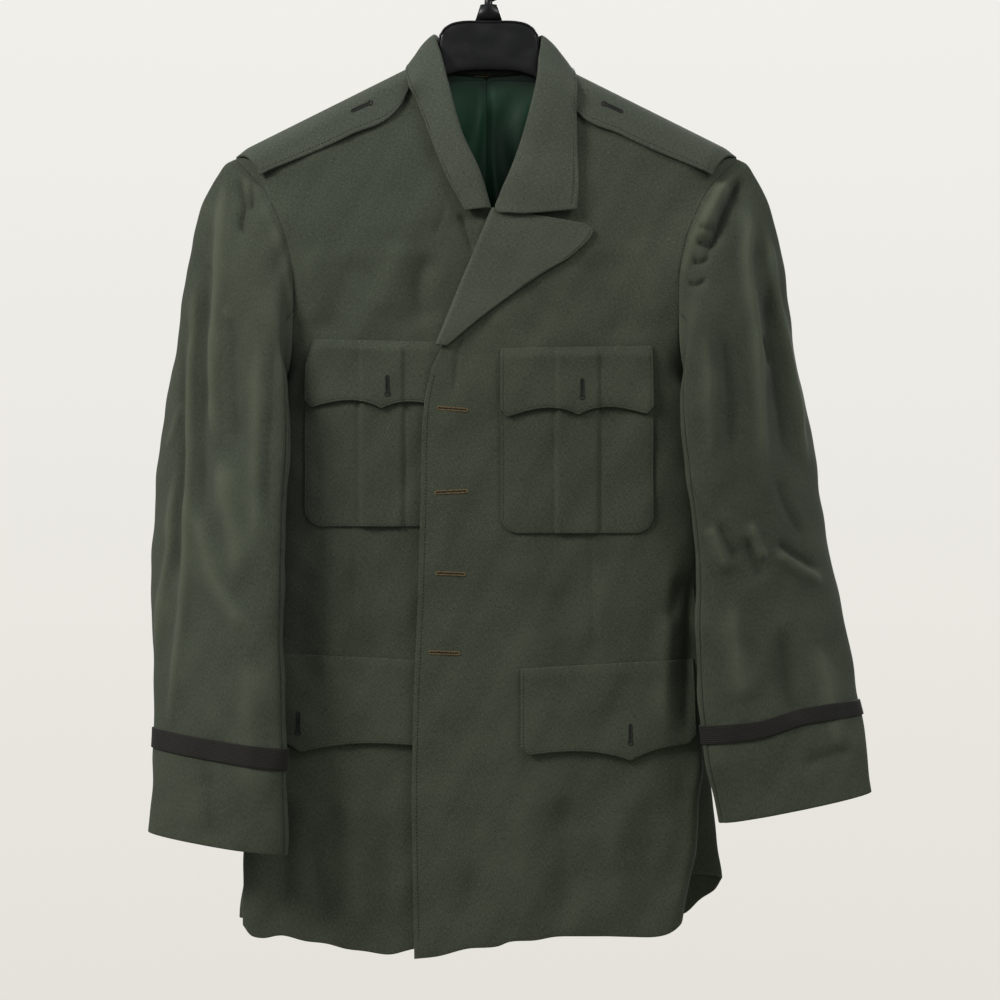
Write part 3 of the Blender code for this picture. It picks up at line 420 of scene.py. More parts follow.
def panel(name, u, v):
    """The middle surface of a panel. u runs from the inner edge (0) to the side seam (1), v from the
    shoulder (0) past the underarm to the hem (1). Each row is a smooth curve through four stations:
    the inner edge, the middle, the corner where the cloth turns back, and the armhole or side seam."""
    spec = PANELS[name]
    facing = 1 if spec["back"] else -1
    u, v = np.broadcast_arrays(np.asarray(u, float), np.asarray(v, float))
    inner, outer = panel_lines(name)
    steps = np.linspace(0, 1, LINE_POINTS)
    upper = np.clip(v / UNDERARM_ROW, 0, 1)
    lower = np.clip((v - UNDERARM_ROW) / (1 - UNDERARM_ROW), 0, 1)
    is_low = (v > UNDERARM_ROW)[..., None]

    def along(lines):
        above = np.stack([np.interp(upper, steps, lines[0][:, k]) for k in range(3)], axis=-1)
        below = np.stack([np.interp(lower, steps, lines[1][:, k]) for k in range(3)], axis=-1)
        return np.where(is_low, below, above)

    start, end = along(inner), along(outer)
    side = table(np.minimum(end[..., 2], UNDERARM_Z), spec["side"])
    share = smooth((v / UNDERARM_ROW - 0.72) / 0.28)
    across = end - start
    corner_x = (1 - share) * (start[..., 0] + CORNER_SHARE * across[..., 0]) + share * side[..., 0]
    middle_x = (start[..., 0] + corner_x) / 2
    middle_z = start[..., 2] + MIDDLE_DROP_SHARE * across[..., 2]
    corner_z = start[..., 2] + CORNER_SHARE * across[..., 2]
    middle_y = facing * depth(middle_x, middle_z, spec["back"])
    corner_y = (1 - share) * facing * depth(corner_x, corner_z, spec["back"]) + share * side[..., 1]
    middle = np.stack([middle_x, middle_y, middle_z], axis=-1)
    corner = np.stack([corner_x, corner_y, corner_z], axis=-1)
    beyond_side = np.stack([corner_x, end[..., 1] - facing * 60, end[..., 2]], axis=-1)
    beyond_arm = end + 0.5 * (end - corner)
    beyond = share[..., None] * beyond_side + (1 - share[..., None]) * beyond_arm
    before = 2 * start - middle
    before[..., 1] = middle[..., 1]
    places = (before, start, middle, corner, end, beyond)
    knots = (-STATIONS[1],) + STATIONS + (1.45,)
    points = np.zeros(u.shape + (3,))
    for first in range(1, 4):
        inside = (u >= knots[first]) & ((u < knots[first + 1]) | (first == 3))
        span = knots[first + 1] - knots[first]
        s = ((u - knots[first]) / span)[..., None]
        a, b = places[first], places[first + 1]
        slope_a = (b - places[first - 1]) / (knots[first + 1] - knots[first - 1]) * span
        slope_b = (places[first + 2] - a) / (knots[first + 2] - knots[first]) * span
        points = np.where(inside[..., None], cubic(s, a, slope_a, b, slope_b), points)
    hem = table(u, spec["hem"])[..., 0]
    straight = spec["hem"][0][1] + u * (spec["hem"][-1][1] - spec["hem"][0][1])
    points[..., 2] += (hem - straight) * lower**5
    if name == "left_front":
        points[..., 1] -= overlap_lift(points[..., 0], points[..., 2])
    return points


def sleeve(name, angle, v):
    """The middle surface of a sleeve. Below the biceps each ring is a flat oval between its outer and
    inner edge, turned so that the outer edge lies behind, with its own bulge before and behind. Above,
    every line round the ring runs in one smooth curve up to its place on the armhole."""
    sign, rows = (-1, RIGHT_SLEEVE) if name == "right" else (1, LEFT_SLEEVE)
    angle, v = np.broadcast_arrays(np.asarray(angle, float), np.asarray(v, float))
    biceps = rows[0][0]

    def ring(at):
        columns = np.moveaxis(table(at, rows), -1, 0)
        outer_x, outer_z, inner_x, inner_z, middle_y, turn, before, behind = columns
        cosine, sine = np.cos(np.radians(angle)), np.sin(np.radians(angle))
        x = (outer_x + inner_x) / 2 + (outer_x - inner_x) / 2 * cosine
        z = (outer_z + inner_z) / 2 + (outer_z - inner_z) / 2 * cosine
        y = middle_y + turn * cosine + np.where(sine < 0, before, behind) * sine
        return np.stack([x, y, z], axis=-1)

    below = ring(np.maximum(v, biceps))
    step = 0.02
    start, leaving = armhole(angle, sign)
    arriving = (ring(np.full(v.shape, biceps + step)) - ring(np.full(v.shape, biceps))) / step * biceps
    end = ring(np.full(v.shape, biceps))
    s = np.clip(v / biceps, 0, 1)[..., None]
    above = cubic(s, start, leaving * LEAVING_REACH, end, arriving)
    return np.where((v < biceps)[..., None], above, below)


def signed_volume(points, quads):
    """Six times the volume within the quads, below zero if they face inwards."""
    a, b, c, d = (points[quads[:, k]] for k in range(4))
    return np.sum(np.cross(a, b) * c) + np.sum(np.cross(a, c) * d)


def normals_of(surface, u, v, step):
    """Unit normals of a surface of two parameters, from two near points each way along it."""
    u, v = np.broadcast_arrays(np.asarray(u, float), np.asarray(v, float))
    across = surface(u + step[0], v) - surface(u - step[0], v)
    along = surface(u, v + step[1]) - surface(u, v - step[1])
    return unit(np.cross(across, along))


def outward(normals, like):
    """The normals, all turned over if they mostly point against a direction."""
    return normals if np.sum(normals * like) > 0 else -normals


def collar_surface(s, t):
    """The collar's middle surface. s runs from the right end round the back to the left end, t from the
    neck seam up the stand to the roll and down the fall to the outer edge."""
    s, t = np.broadcast_arrays(np.asarray(s, float), np.asarray(t, float))
    rows = np.array(COLLAR_ROWS, float)
    knots = np.linspace(0, 1, len(rows))
    seam, roll, outer = (spline(s, knots, rows[:, first : first + 3]) for first in (0, 3, 6))
    middle_line = np.stack([np.zeros(s.shape), np.full(s.shape, -8.0), roll[..., 2]], axis=-1)
    away = unit(roll - middle_line)
    front = smooth((-roll[..., 2] - 120) / 60)[..., None]
    away = away * (1 - front) + np.array([0, -1, 0]) * front
    stand = seam + 0.72 * (roll - seam) - away * 1.2
    below = roll + 0.2 * (outer - roll) + away * 3.0
    fall = roll + 0.6 * (outer - roll) + away * 2.2
    stops = (0, 0.26, 0.42, 0.56, 0.78, 1)
    points = np.zeros(s.shape + (3,))
    chain = (seam, stand, roll, below, fall, outer)
    slopes = [(chain[1] - chain[0]) / (stops[1] - stops[0])]
    for k in range(1, 5):
        slopes.append((chain[k + 1] - chain[k - 1]) / (stops[k + 1] - stops[k - 1]))
    slopes.append((chain[5] - chain[4]) / (stops[5] - stops[4]))
    for k in range(5):
        inside = ((t >= stops[k]) & ((t < stops[k + 1]) | (k == 4)))[..., None]
        span = stops[k + 1] - stops[k]
        q = ((t - stops[k]) / span)[..., None]
        curve = cubic(q, chain[k], span * slopes[k], chain[k + 1], span * slopes[k + 1])
        points = np.where(inside, curve, points)
    in_fall = np.clip((t - 0.3) / 0.15, 0, 1) * np.clip((1 - t) / 0.36, 0, 1)
    points[..., 2] -= GORGE_DROP * smooth((s - GORGE_START) / (1 - GORGE_START)) * in_fall
    return points


def lapel_surface(a, b):
    """The turned-out lapel. a runs down the roll line, b from the panel's edge round the roll and out
    over the left front. The roll is half a circle, and past it the sheet lies a little over the front."""
    a, b = np.broadcast_arrays(np.asarray(a, float), np.asarray(b, float))
    rows = table(a, LAPEL_ROWS)
    roll, outer = rows[..., 0:2], rows[..., 2:4]
    across = outer - roll
    width = np.linalg.norm(across, axis=-1, keepdims=True)
    across = across / width
    turn = np.clip(b / LAPEL_ROLL_SHARE, 0, 1) * np.pi
    run = np.clip((b - LAPEL_ROLL_SHARE) / (1 - LAPEL_ROLL_SHARE), 0, 1)
    distance = -LAPEL_ROLL * np.sin(turn) + run * width[..., 0]
    flat = roll + across * distance[..., None]
    past_roll = 2 * LAPEL_ROLL + run * (LAPEL_LIFT - 2 * LAPEL_ROLL)
    lift = np.where(b < LAPEL_ROLL_SHARE, LAPEL_ROLL * (1 - np.cos(turn)), past_roll)
    x, z = flat[..., 0], flat[..., 1]
    y = -depth(x, z, False) - overlap_lift(x, z) - lift
    return np.stack([x, y, z], axis=-1)


def front_sheet(name, distance, z, over, level):
    """Points over a front panel, and its normals there, at distances from the middle line and heights z.
    The distance is the way across, to which the turn of the cloth round its corner is added as it is at
    one level. Newton's method finds each point's place on the panel."""
    sign = PANELS[name]["sign"]
    fine = np.linspace(0, 1, 241)
    level_v = float(np.interp(-level, -panel(name, 0.5, fine)[:, 2], fine))
    section = panel(name, fine, level_v)
    steps = np.linalg.norm(np.diff(section[:, :2], axis=0), axis=1)
    lengths = sign * section[0, 0] + np.concatenate([[0], np.cumsum(steps)])
    turned = lengths - sign * section[:, 0]
    distance = np.broadcast_to(distance[:, None], z.shape)
    u = np.interp(distance, lengths, fine)
    v = np.full(z.shape, level_v)

    def place(a, b):
        point = panel(name, a, b)
        return sign * point[..., 0] + np.interp(a, fine, turned), point[..., 2]

    step = 0.0005
    for _ in range(NEWTON_STEPS):
        across, height = place(u, v)
        across_u, height_u = place(np.minimum(u + step, 1), v)
        across_v, height_v = place(u, np.minimum(v + step, 1))
        a, b = (across_u - across) / step, (across_v - across) / step
        c, d = (height_u - height) / step, (height_v - height) / step
        miss, drop = distance - across, z - height
        whole = a * d - b * c
        whole = np.where(np.abs(whole) < 1e-6, 1e-6, whole)
        u = np.clip(u + np.clip((d * miss - b * drop) / whole, -0.1, 0.1), 0, 0.998)
        v = np.clip(v + np.clip((a * drop - c * miss) / whole, -0.1, 0.1), 0, 0.998)

    def surface(a, b):
        return panel(name, np.clip(a, 0, 1), np.clip(b, 0, 1))

    normals = outward(normals_of(surface, u, v, (0.002, 0.001)), np.array([0, -1.0, 0]))
    return surface(u, v) + normals * over[..., None], normals


def middle_and_half(spec):
    """Distance of a pocket's or flap's middle from the coat's, and half its width."""
    return (spec["inner"] + spec["outer"]) / 2, (spec["outer"] - spec["inner"]) / 2


def pleat(offset):
    """Height of the box pleat over the pocket at a distance from its middle."""
    return PLEAT_LIFT * smooth((PLEAT_HALF_WIDTH - np.abs(offset)) / 2.5)


def strap_surface(sign, a, w):
    """The cloth under a shoulder strap. a runs from the neck end to the armhole, w from its front edge
    (-1) over the shoulder line (0) to its back edge (1)."""
    a, w = np.broadcast_arrays(np.asarray(a, float), np.asarray(w, float))
    rows = table(a, STRAP_ROWS)
    side_x = np.where(w < 0, STRAP_FRONT_X, STRAP_BACK_X)
    end_x = STRAP_TIP_X + (side_x - STRAP_TIP_X) * np.abs(w)
    to_back = np.clip((w - STRAP_NECK_PLACE) / (1 - STRAP_NECK_PLACE), 0, 1)
    to_front = np.clip((STRAP_NECK_PLACE - w) / (1 + STRAP_NECK_PLACE), 0, 1)
    neck_x = STRAP_NECK_X + STRAP_NECK_BACK * to_back**STRAP_NECK_BEND
    neck_x = neck_x + STRAP_NECK_FRONT * to_front**STRAP_NECK_BEND
    x = neck_x + (end_x - neck_x) * a
    drop = np.where(w < 0, rows[..., 0], rows[..., 1]) * w**2
    z = ridge_z(x) - drop
    y = np.where(w < 0, -depth(x, z, False), depth(x, z, True))
    return np.stack([sign * x, y, z], axis=-1)


def back_inside(sign, inward):
    """The inside of the back at a distance in from its middle surface, as a surface of x and z."""

    def surface(x, z):
        x, z = np.broadcast_arrays(np.asarray(x, float), np.asarray(z, float))
        return np.stack([sign * x, depth(x, z, True) - inward, z], axis=-1)

    return surface


def hanger_section(distance, top, bottom, half, squareness, count=12):
    angles = np.linspace(0, 2 * np.pi, count, endpoint=False)
    cosine, sine = np.cos(angles), np.sin(angles)
    y = half * np.sign(cosine) * np.abs(cosine) ** squareness
    z = (top + bottom) / 2 + (top - bottom) / 2 * np.sign(sine) * np.abs(sine) ** squareness
    return np.stack([np.full(count, distance), y, z], axis=-1)


def hook_path(count):
    """Centre line of the hook: a straight stem, a cubic bend to one side, then an arc over the rail."""
    centre_z = HOOK_THICKNESS / 2 - HOOK_RADIUS
    turn = np.radians(np.linspace(HOOK_START, HOOK_END, count))
    arc = np.stack([HOOK_RADIUS * np.cos(turn), centre_z + HOOK_RADIUS * np.sin(turn)], axis=1)
    stem = [(0, HUMP_ROWS[0][1] + SEAM_GAP), (0, HOOK_NECK_Z), (0, HOOK_NECK_Z + SEAM_GAP)]
    start = np.array([0, HOOK_BEND_Z])
    first_pull = start + (0, HOOK_BEND_PULLS[0])
    second_pull = arc[0] + HOOK_BEND_PULLS[1] * np.array([np.sin(turn[0]), -np.cos(turn[0])])
    t = np.linspace(0, 1, count // 3, endpoint=False)[:, None]
    bend = (1 - t) ** 3 * start + 3 * t * (1 - t) ** 2 * first_pull
    bend = bend + 3 * t**2 * (1 - t) * second_pull + t**3 * arc[0]
    return np.concatenate([stem, bend, arc])


# Camera: the coat's middle as the photograph shows it
CAMERA_X, CAMERA_Z, CAMERA_DISTANCE = 12.6, -504.0, 1900.0
# The picture is this wide, on either side of its middle, at the front cloth this far before the middle plane
PICTURE_HALF_WIDTH, FRONT_CLOTH_AT, SENSOR_WIDTH = 450, 50, 36
# Floor, in metres
FLOOR_RADIUS, FLOOR_HEIGHT = 1.2, -1.35
FLOOR_COLOUR = (0.36, 0.35, 0.33)
# Room, low down and high up: the wall's colour as the camera sees it, and the light that it gives
WALL_SEEN = (0.77, 0.745, 0.69), (0.89, 0.88, 0.845)
WALL_LIGHT = (0.26, 0.26, 0.25), (0.62, 0.64, 0.66)
# Lights, in metres and watts: name, place, where it aims, size, power, colour
LIGHTS = (
    ("key", (-1.9, -1.2, 1.1), (0, 0, -0.45), 0.8, 84, (1.0, 0.985, 0.96)),
    ("fill", (1.5, -1.1, 1.3), (0, 0, -0.5), 1.0, 30, (0.98, 0.99, 1.0)),
    ("behind", (0.9, 2.1, 0.7), (0, 0, -0.5), 1.4, 60, (1.0, 0.99, 0.98)),
)

# Folds: height (below 0 for a trough), half width, then a line of x, z in the front view
FRONT_FOLDS = (
    (-2.4, 2.8, ((-22, -243), (-18, -262), (-11, -282))),
    (2.0, 9, ((-7, -247), (0, -269), (7, -289))),
    (-4.2, 10, ((-51, -278), (-60, -314), (-55, -351))),
    (2.4, 14, ((-74, -269), (-85, -305), (-96, -342))),
    (-2.2, 16, ((-121, -278), (-132, -324), (-141, -364))),
    (2.0, 15, ((-152, -269), (-157, -314), (-153, -351))),
    (-2.0, 20, ((103, -274), (114, -324), (123, -364))),
    (2.0, 16, ((139, -260), (150, -305), (157, -351))),
    (-1.8, 16, ((67, -324), (49, -346), (31, -364))),
    (-4.5, 8, ((188, -558), (184, -612), (182, -666), (179, -721))),
    (3.4, 9, ((170, -549), (164, -612), (161, -675), (162, -721))),
    (-3.2, 8, ((175, -572), (170, -594), (164, -617))),
    (3.4, 8, ((193, -725), (187, -775), (180, -838), (164, -892))),
    (-3.8, 9, ((201, -730), (199, -784), (194, -838), (184, -879))),
    (-2.2, 16, ((148, -766), (146, -820), (141, -892))),
    (2.6, 16, ((112, -766), (115, -829), (119, -892))),
    (-2.8, 14, ((72, -766), (72, -829), (70, -896))),
    (2.2, 16, ((31, -766), (34, -829), (38, -897))),
    (-2.2, 14, ((-11, -775), (-11, -838), (-11, -901))),
    (-2.0, 16, ((-159, -558), (-166, -612), (-162, -675))),
    (-3.6, 10, ((-182, -766), (-182, -829), (-184, -892))),
    (3.0, 12, ((-202, -766), (-204, -829), (-202, -897))),
    (-2.6, 9, ((-159, -802), (-150, -856), (-141, -901))),
    (2.8, 14, ((-123, -757), (-117, -829), (-112, -906))),
    (-2.2, 12, ((-92, -775), (-90, -838), (-90, -910))),
    (-1.8, 24, ((0, -567), (7, -639), (0, -703))),
    (1.6, 22, ((25, -450), (34, -531), (29, -594))),
    (-1.8, 18, ((63, -576), (69, -639), (67, -703))),
    (1.8, 18, ((103, -558), (108, -630), (106, -712))),
    (-1.6, 18, ((-112, -558), (-108, -630), (-116, -703))),
    (1.6, 16, ((-141, -558), (-141, -630), (-137, -703))),
    (-1.3, 2.4, ((-24, -355), (-26, -378), (-28, -414))),
    (1.4, 14, ((-40, -450), (-36, -522), (-42, -594))),
)
BACK_FOLDS = (
    (2.4, 18, ((60, -220), (90, -262), (128, -300))),
    (-2.2, 16, ((72, -252), (108, -292), (150, -322))),
    (2.2, 18, ((-58, -224), (-92, -262), (-130, -302))),
    (-2.2, 16, ((-78, -254), (-112, -294), (-152, -326))),
    (-3.0, 20, ((36, -560), (44, -680), (52, -800), (56, -890))),
    (3.0, 20, ((78, -600), (92, -720), (104, -860))),
    (-3.0, 20, ((126, -640), (142, -740), (156, -860))),
    (3.0, 20, ((-46, -600), (-54, -720), (-62, -890))),
    (-3.0, 18, ((-92, -620), (-104, -740), (-112, -890))),
    (3.0, 20, ((-132, -640), (-150, -760), (-164, -890))),
    (2.0, 24, ((-20, -400), (-50, -470), (-90, -520))),
    (-2.0, 22, ((24, -420), (58, -480), (104, -520))),
)
RIGHT_SLEEVE_FOLDS = (
    (3.6, 7, (
        (-239, -200), (-241, -227), (-242, -271), (-243, -307), (-246, -352),
        (-246, -382), (-246, -413), (-243, -440), (-240, -463),
    )),
    (2.4, 12, ((-240, -459), (-231, -504), (-223, -540), (-214, -586))),
    (3.4, 6, (
        (-266, -301), (-267, -323), (-267, -352), (-269, -382), (-269, -413), (-268, -459), (-269, -495),
        (-269, -540), (-270, -577), (-272, -604), (-277, -649), (-283, -699), (-285, -717),
    )),
    (2.8, 6, (
        (-283, -463), (-284, -495), (-286, -522), (-286, -545), (-290, -568),
        (-294, -595), (-297, -631), (-299, -658),
    )),
    (2.0, 6, ((-278, -413), (-285, -436), (-293, -459))),
    (2.0, 10, ((-263, -495), (-254, -536), (-240, -577), (-223, -604), (-212, -622))),
    (-2.4, 9, ((-255, -268), (-256, -341), (-257, -413), (-256, -477), (-255, -540))),
    (-2.4, 7, ((-278, -350), (-278, -413), (-277, -477), (-279, -540), (-281, -586))),
    (-2.0, 12, ((-231, -323), (-227, -395), (-221, -459))),
    (-2.8, 3.4, ((-227, -205), (-224, -221), (-221, -236), (-224, -254), (-218, -265))),
    (-2.2, 3, ((-215, -214), (-213, -228), (-215, -243))),
    (-1.2, 2, ((-255, -289), (-248, -299))),
    (1.4, 3.5, ((-236, -330), (-231, -345))),
    (-1.6, 14, ((-246, -740), (-243, -776), (-241, -808))),
    (1.8, 16, ((-210, -640), (-207, -704), (-203, -776))),
    (2.2, 12, ((-203, -350), (-202, -413), (-203, -486), (-200, -558))),
    (-1.8, 9, ((-190, -341), (-190, -413), (-193, -477), (-192, -540))),
)
LEFT_SLEEVE_FOLDS = (
    (-6.0, 5.5, ((234, -205), (228, -221), (220, -237), (213, -254), (207, -268), (197, -288))),
    (2.8, 9, ((219, -212), (209, -232), (200, -252), (192, -273))),
    (-2.0, 3.2, ((191, -257), (200, -259), (209, -255))),
    (-2.0, 3.2, ((189, -271), (198, -274), (207, -271))),
    (-2.2, 3.6, ((185, -288), (194, -290), (203, -284))),
    (-2.2, 3.6, ((180, -309), (190, -310), (200, -305))),
    (3.8, 8, (
        (239, -223), (239, -254), (236, -284), (237, -309), (241, -333),
        (244, -363), (246, -413), (248, -459), (252, -504),
    )),
    (-3.4, 9, ((258, -295), (259, -341), (264, -386), (270, -431), (276, -477))),
    (3.4, 6, (
        (252, -236), (258, -273), (263, -309), (271, -345), (278, -377),
        (284, -413), (290, -450), (295, -486),
    )),
    (-2.6, 4, ((252, -352), (257, -368), (260, -384))),
    (3.2, 7, ((254, -548), (271, -560), (289, -571), (308, -580))),
    (-2.8, 6, ((259, -540), (280, -555), (305, -568))),
    (2.6, 7, ((235, -522), (241, -545), (250, -558))),
    (-2.2, 7, ((229, -536), (238, -558), (246, -577))),
    (-2.2, 8, ((263, -481), (268, -504), (278, -522), (290, -540))),
    (2.2, 8, ((197, -526), (205, -545), (214, -572))),
    (-2.0, 8, ((205, -522), (214, -545), (224, -558))),
    (2.2, 12, ((217, -595), (222, -649), (229, -685))),
    (-2.2, 14, ((262, -613), (269, -667), (276, -704))),
    (2.2, 12, ((298, -631), (308, -685), (317, -740))),
    (-1.4, 10, ((276, -740), (303, -731), (330, -726))),
    (-2.4, 10, ((214, -350), (218, -413), (219, -477))),
    (1.8, 9, ((196, -350), (198, -413), (200, -477))),
)
SLEEVE_BACK_FOLDS = (
    (3.0, 13, ((236, -230), (240, -320), (244, -420), (250, -520))),
    (-3.0, 13, ((258, -300), (266, -400), (272, -500))),
    (2.4, 14, ((214, -520), (222, -620), (230, -720))),
    (-2.4, 14, ((276, -560), (288, -650), (298, -740))),
)
# Seams and darts, which are narrow and shallow
FRONT_DARTS = (
    (-1.1, 2.2, ((94, -537), (96, -585), (97, -648))),
    (-1.1, 2.2, ((-118, -534), (-119, -585), (-120, -647))),
    (-1.2, 2.4, ((-35, -235), (-41, -253), (-48, -270))),
)

SLEEVE_SPECS = {
    "right": dict(sign=-1, folds=RIGHT_SLEEVE_FOLDS),
    "left": dict(sign=1, folds=LEFT_SLEEVE_FOLDS),
}
# Points to each stretch of a fold's line, and how far from it a fold reaches, in widths
FOLD_STEPS, FOLD_REACH = 8, 3.4
# Share of crease in a fold, how much the sleeves narrow theirs, and how many times a table's height is used
BODY_SHARPNESS, SLEEVE_SHARPNESS, SLEEVE_NARROWING = 0.3, 0.6, 0.75
BODY_FOLDS_TIMES, SLEEVE_FOLDS_TIMES = 1.3, 1.7
# Height of the roll and of the gathers at a sleeve's head
HEAD_ROLL, HEAD_GATHERS = 1.8, 0.8
# Relief at which a crest gets its full painted highlight and a hollow its full painted shade, and how strong
# this painted light is on the body and on the sleeves
CREST_HEIGHT, BODY_PAINTED_LIGHT, SLEEVE_PAINTED_LIGHT = 5.0, 0.2, 0.8
# Waves of the cloth: across, down, phase, height
RIPPLES = (
    (0.020, 0.013, 0.7, 0.50),
    (-0.014, 0.021, 2.1, 0.40),
    (0.033, -0.017, 4.0, 0.26),
    (0.041, 0.038, 1.2, 0.18),
    (-0.058, 0.029, 5.3, 0.12),
)


def fold_field(x, z, folds, sharp, narrowing=1.0):
    """The height of all folds at x, z, each fading out at both ends of its line.

    Across the line a fold is a bell, the exponential of minus the square of distance over width. By the
    share sharp it is a crease instead: an exponential of the distance over three quarters of the width,
    rounded within a third of the width."""
    total = np.zeros(np.shape(x))
    for height, table_width, line in folds:
        width = table_width * narrowing
        knots = np.linspace(0, 1, len(line))
        path = spline(np.linspace(0, 1, FOLD_STEPS * (len(line) - 1) + 1), knots, line)
        low, high = path.min(axis=0) - FOLD_REACH * width, path.max(axis=0) + FOLD_REACH * width
        near = (x > low[0]) & (x < high[0]) & (z > low[1]) & (z < high[1])
        near_x, near_z = x[near], z[near]
        start, way = path[:-1], np.diff(path, axis=0)
        nearest = np.full(near_x.shape, FOLD_REACH * width)
        along = np.zeros(near_x.shape)
        for k in range(len(start)):
            offset_x, offset_z = near_x - start[k, 0], near_z - start[k, 1]
            share = np.clip((offset_x * way[k, 0] + offset_z * way[k, 1]) / np.sum(way[k] ** 2), 0, 1)
            distance = np.hypot(offset_x - share * way[k, 0], offset_z - share * way[k, 1])
            closer = distance < nearest
            nearest = np.where(closer, distance, nearest)
            along = np.where(closer, (k + share) / len(start), along)
        fade = smooth(along / 0.22) * smooth((1 - along) / 0.25)
        bell = np.exp(-((nearest / width) ** 2))
        crease = np.exp((0.3 * width - np.hypot(nearest, 0.3 * width)) / (0.75 * width))
        total[near] += height * fade * (bell + sharp * (crease - bell))
    return total


def ripple_field(x, z):
    """Slight unevenness: a sum of a few long plane waves."""
    total = np.zeros(np.shape(x))
    for across, down, phase, height in RIPPLES:
        total += height * np.sin(2 * np.pi * (across * x + down * z) / 1.4 + phase)
    return total


def body_relief(x, z, back):
    """How far the cloth of the body stands proud of its smooth surface. It fades out at the shoulder."""
    folds = fold_field(x, z, BACK_FOLDS if back else FRONT_FOLDS, BODY_SHARPNESS)
    if not back:
        folds = folds + fold_field(x, z, FRONT_DARTS, BODY_SHARPNESS)
    strength = bpy.context.scene.coat_cloth.folds
    relief = BODY_FOLDS_TIMES * folds + ripple_field(x, z + 400 * back)
    return strength * relief * smooth((ridge_z(x) - z) / 60)


def sleeve_relief(side, points, angle, v):
    """The same for a sleeve, with its own folds before and behind and fine gathers at its head."""
    spec = SLEEVE_SPECS[side]
    x, z = points[..., 0], points[..., 2]
    front = smooth((0.25 - np.sin(np.radians(angle))) / 0.6)
    relief = front * fold_field(x, z, spec["folds"], SLEEVE_SHARPNESS, SLEEVE_NARROWING)
    relief = relief + (1 - front) * fold_field(np.abs(x), z, SLEEVE_BACK_FOLDS, SLEEVE_SHARPNESS)
    head = smooth((UNDERARM_Z + 90 - armhole(angle, 1)[0][..., 2]) / -60)
    gathers = HEAD_GATHERS * head * np.sin(np.radians(angle) * 15) * np.exp(-v / 0.07)
    roll = HEAD_ROLL * np.exp(-(((v - 0.02) / 0.016) ** 2))
    relief = SLEEVE_FOLDS_TIMES * relief + gathers + roll + ripple_field(x, z)
    return bpy.context.scene.coat_cloth.folds * smooth(v / 0.018) * relief


def lengths_along(points, axis):
    """The running length along one axis of a grid of points."""
    steps = np.linalg.norm(np.diff(points, axis=axis), axis=-1)
    start = np.zeros_like(steps[:1, :] if axis == 0 else steps[:, :1])
    return np.cumsum(np.concatenate([start, steps], axis=axis), axis=axis)


def grid_normals(points, closed):
    """Unit normals of a grid of points, from its neighbours."""
    if closed:
        across = np.roll(points, -1, axis=0) - np.roll(points, 1, axis=0)
    else:
        across = np.gradient(points, axis=0)
    return unit(np.cross(across, np.gradient(points, axis=1)))


def stations(count, length, edge):
    """Shares from 0 to 1, even in the middle and close together where the edge rounds over."""
    near = np.array([0, 0.12, 0.4, 0.9]) * edge / length
    inner = np.linspace(near[-1], 1 - near[-1], count)
    return np.concatenate([near[:-1], inner, 1 - near[:-1][::-1]])


def mesh_piece(name, points, quads, looks, uv=None, looks_of_quads=None, crests=None):
    """A smooth-shaded object of these points in millimetres. Crests, from -1 to 1, tells a fold's crest from
    its hollow at each point."""
    mesh = bpy.data.meshes.new(name)
    mesh.vertices.add(len(points))
    mesh.vertices.foreach_set("co", ((points - (HANGER_MIDDLE, 0, 0)) * MM).ravel())
    mesh.loops.add(quads.size)
    mesh.loops.foreach_set("vertex_index", quads.ravel().astype(np.int32))
    mesh.polygons.add(len(quads))
    mesh.polygons.foreach_set("loop_start", np.arange(0, quads.size, quads.shape[1], dtype=np.int32))
    mesh.polygons.foreach_set("use_smooth", np.ones(len(quads), bool))
    for material in looks:
        mesh.materials.append(material)
    if looks_of_quads is not None:
        mesh.polygons.foreach_set("material_index", looks_of_quads.astype(np.int32))
    mesh.update(calc_edges=True)
    if uv is not None:
        layer = mesh.uv_layers.new(name="Length")
        layer.data.foreach_set("uv", (uv[quads.ravel()] * MM).ravel().astype(np.float32))
    if crests is not None:
        # The Crest attribute carries painted light: the serge paints crests lighter and hollows darker by it
        blue_tint_and_crest_light = mesh.attributes.new("Crest", "FLOAT", "POINT")
        blue_tint_and_crest_light.data.foreach_set("value", crests.astype(np.float32))
    mesh.validate()
    made = bpy.data.objects.new(name, mesh)
    bpy.context.scene.collection.objects.link(made)
    return made


def grid_quads(rows, columns, closed):
    """Quads over a grid, and quads that join its rim to a second grid of the same size."""
    index = np.arange(rows * columns).reshape(rows, columns)
    ends = np.vstack([index, index[:1]]) if closed else index
    a, b, c, d = ends[:-1, :-1], ends[1:, :-1], ends[1:, 1:], ends[:-1, 1:]
    skin = np.stack([a, b, c, d], axis=-1).reshape(-1, 4)
    rims = [(ends[:, 0], -1), (ends[:, -1], 1)]
    if not closed:
        rims += [(ends[0, :], 1), (ends[-1, :], -1)]
    shift = rows * columns
    joins = []
    for line, way in rims:
        line = line[::way]
        joins.append(np.stack([line[1:], line[:-1], line[:-1] + shift, line[1:] + shift], axis=-1)[:, ::-1])
    return skin, np.concatenate(joins)


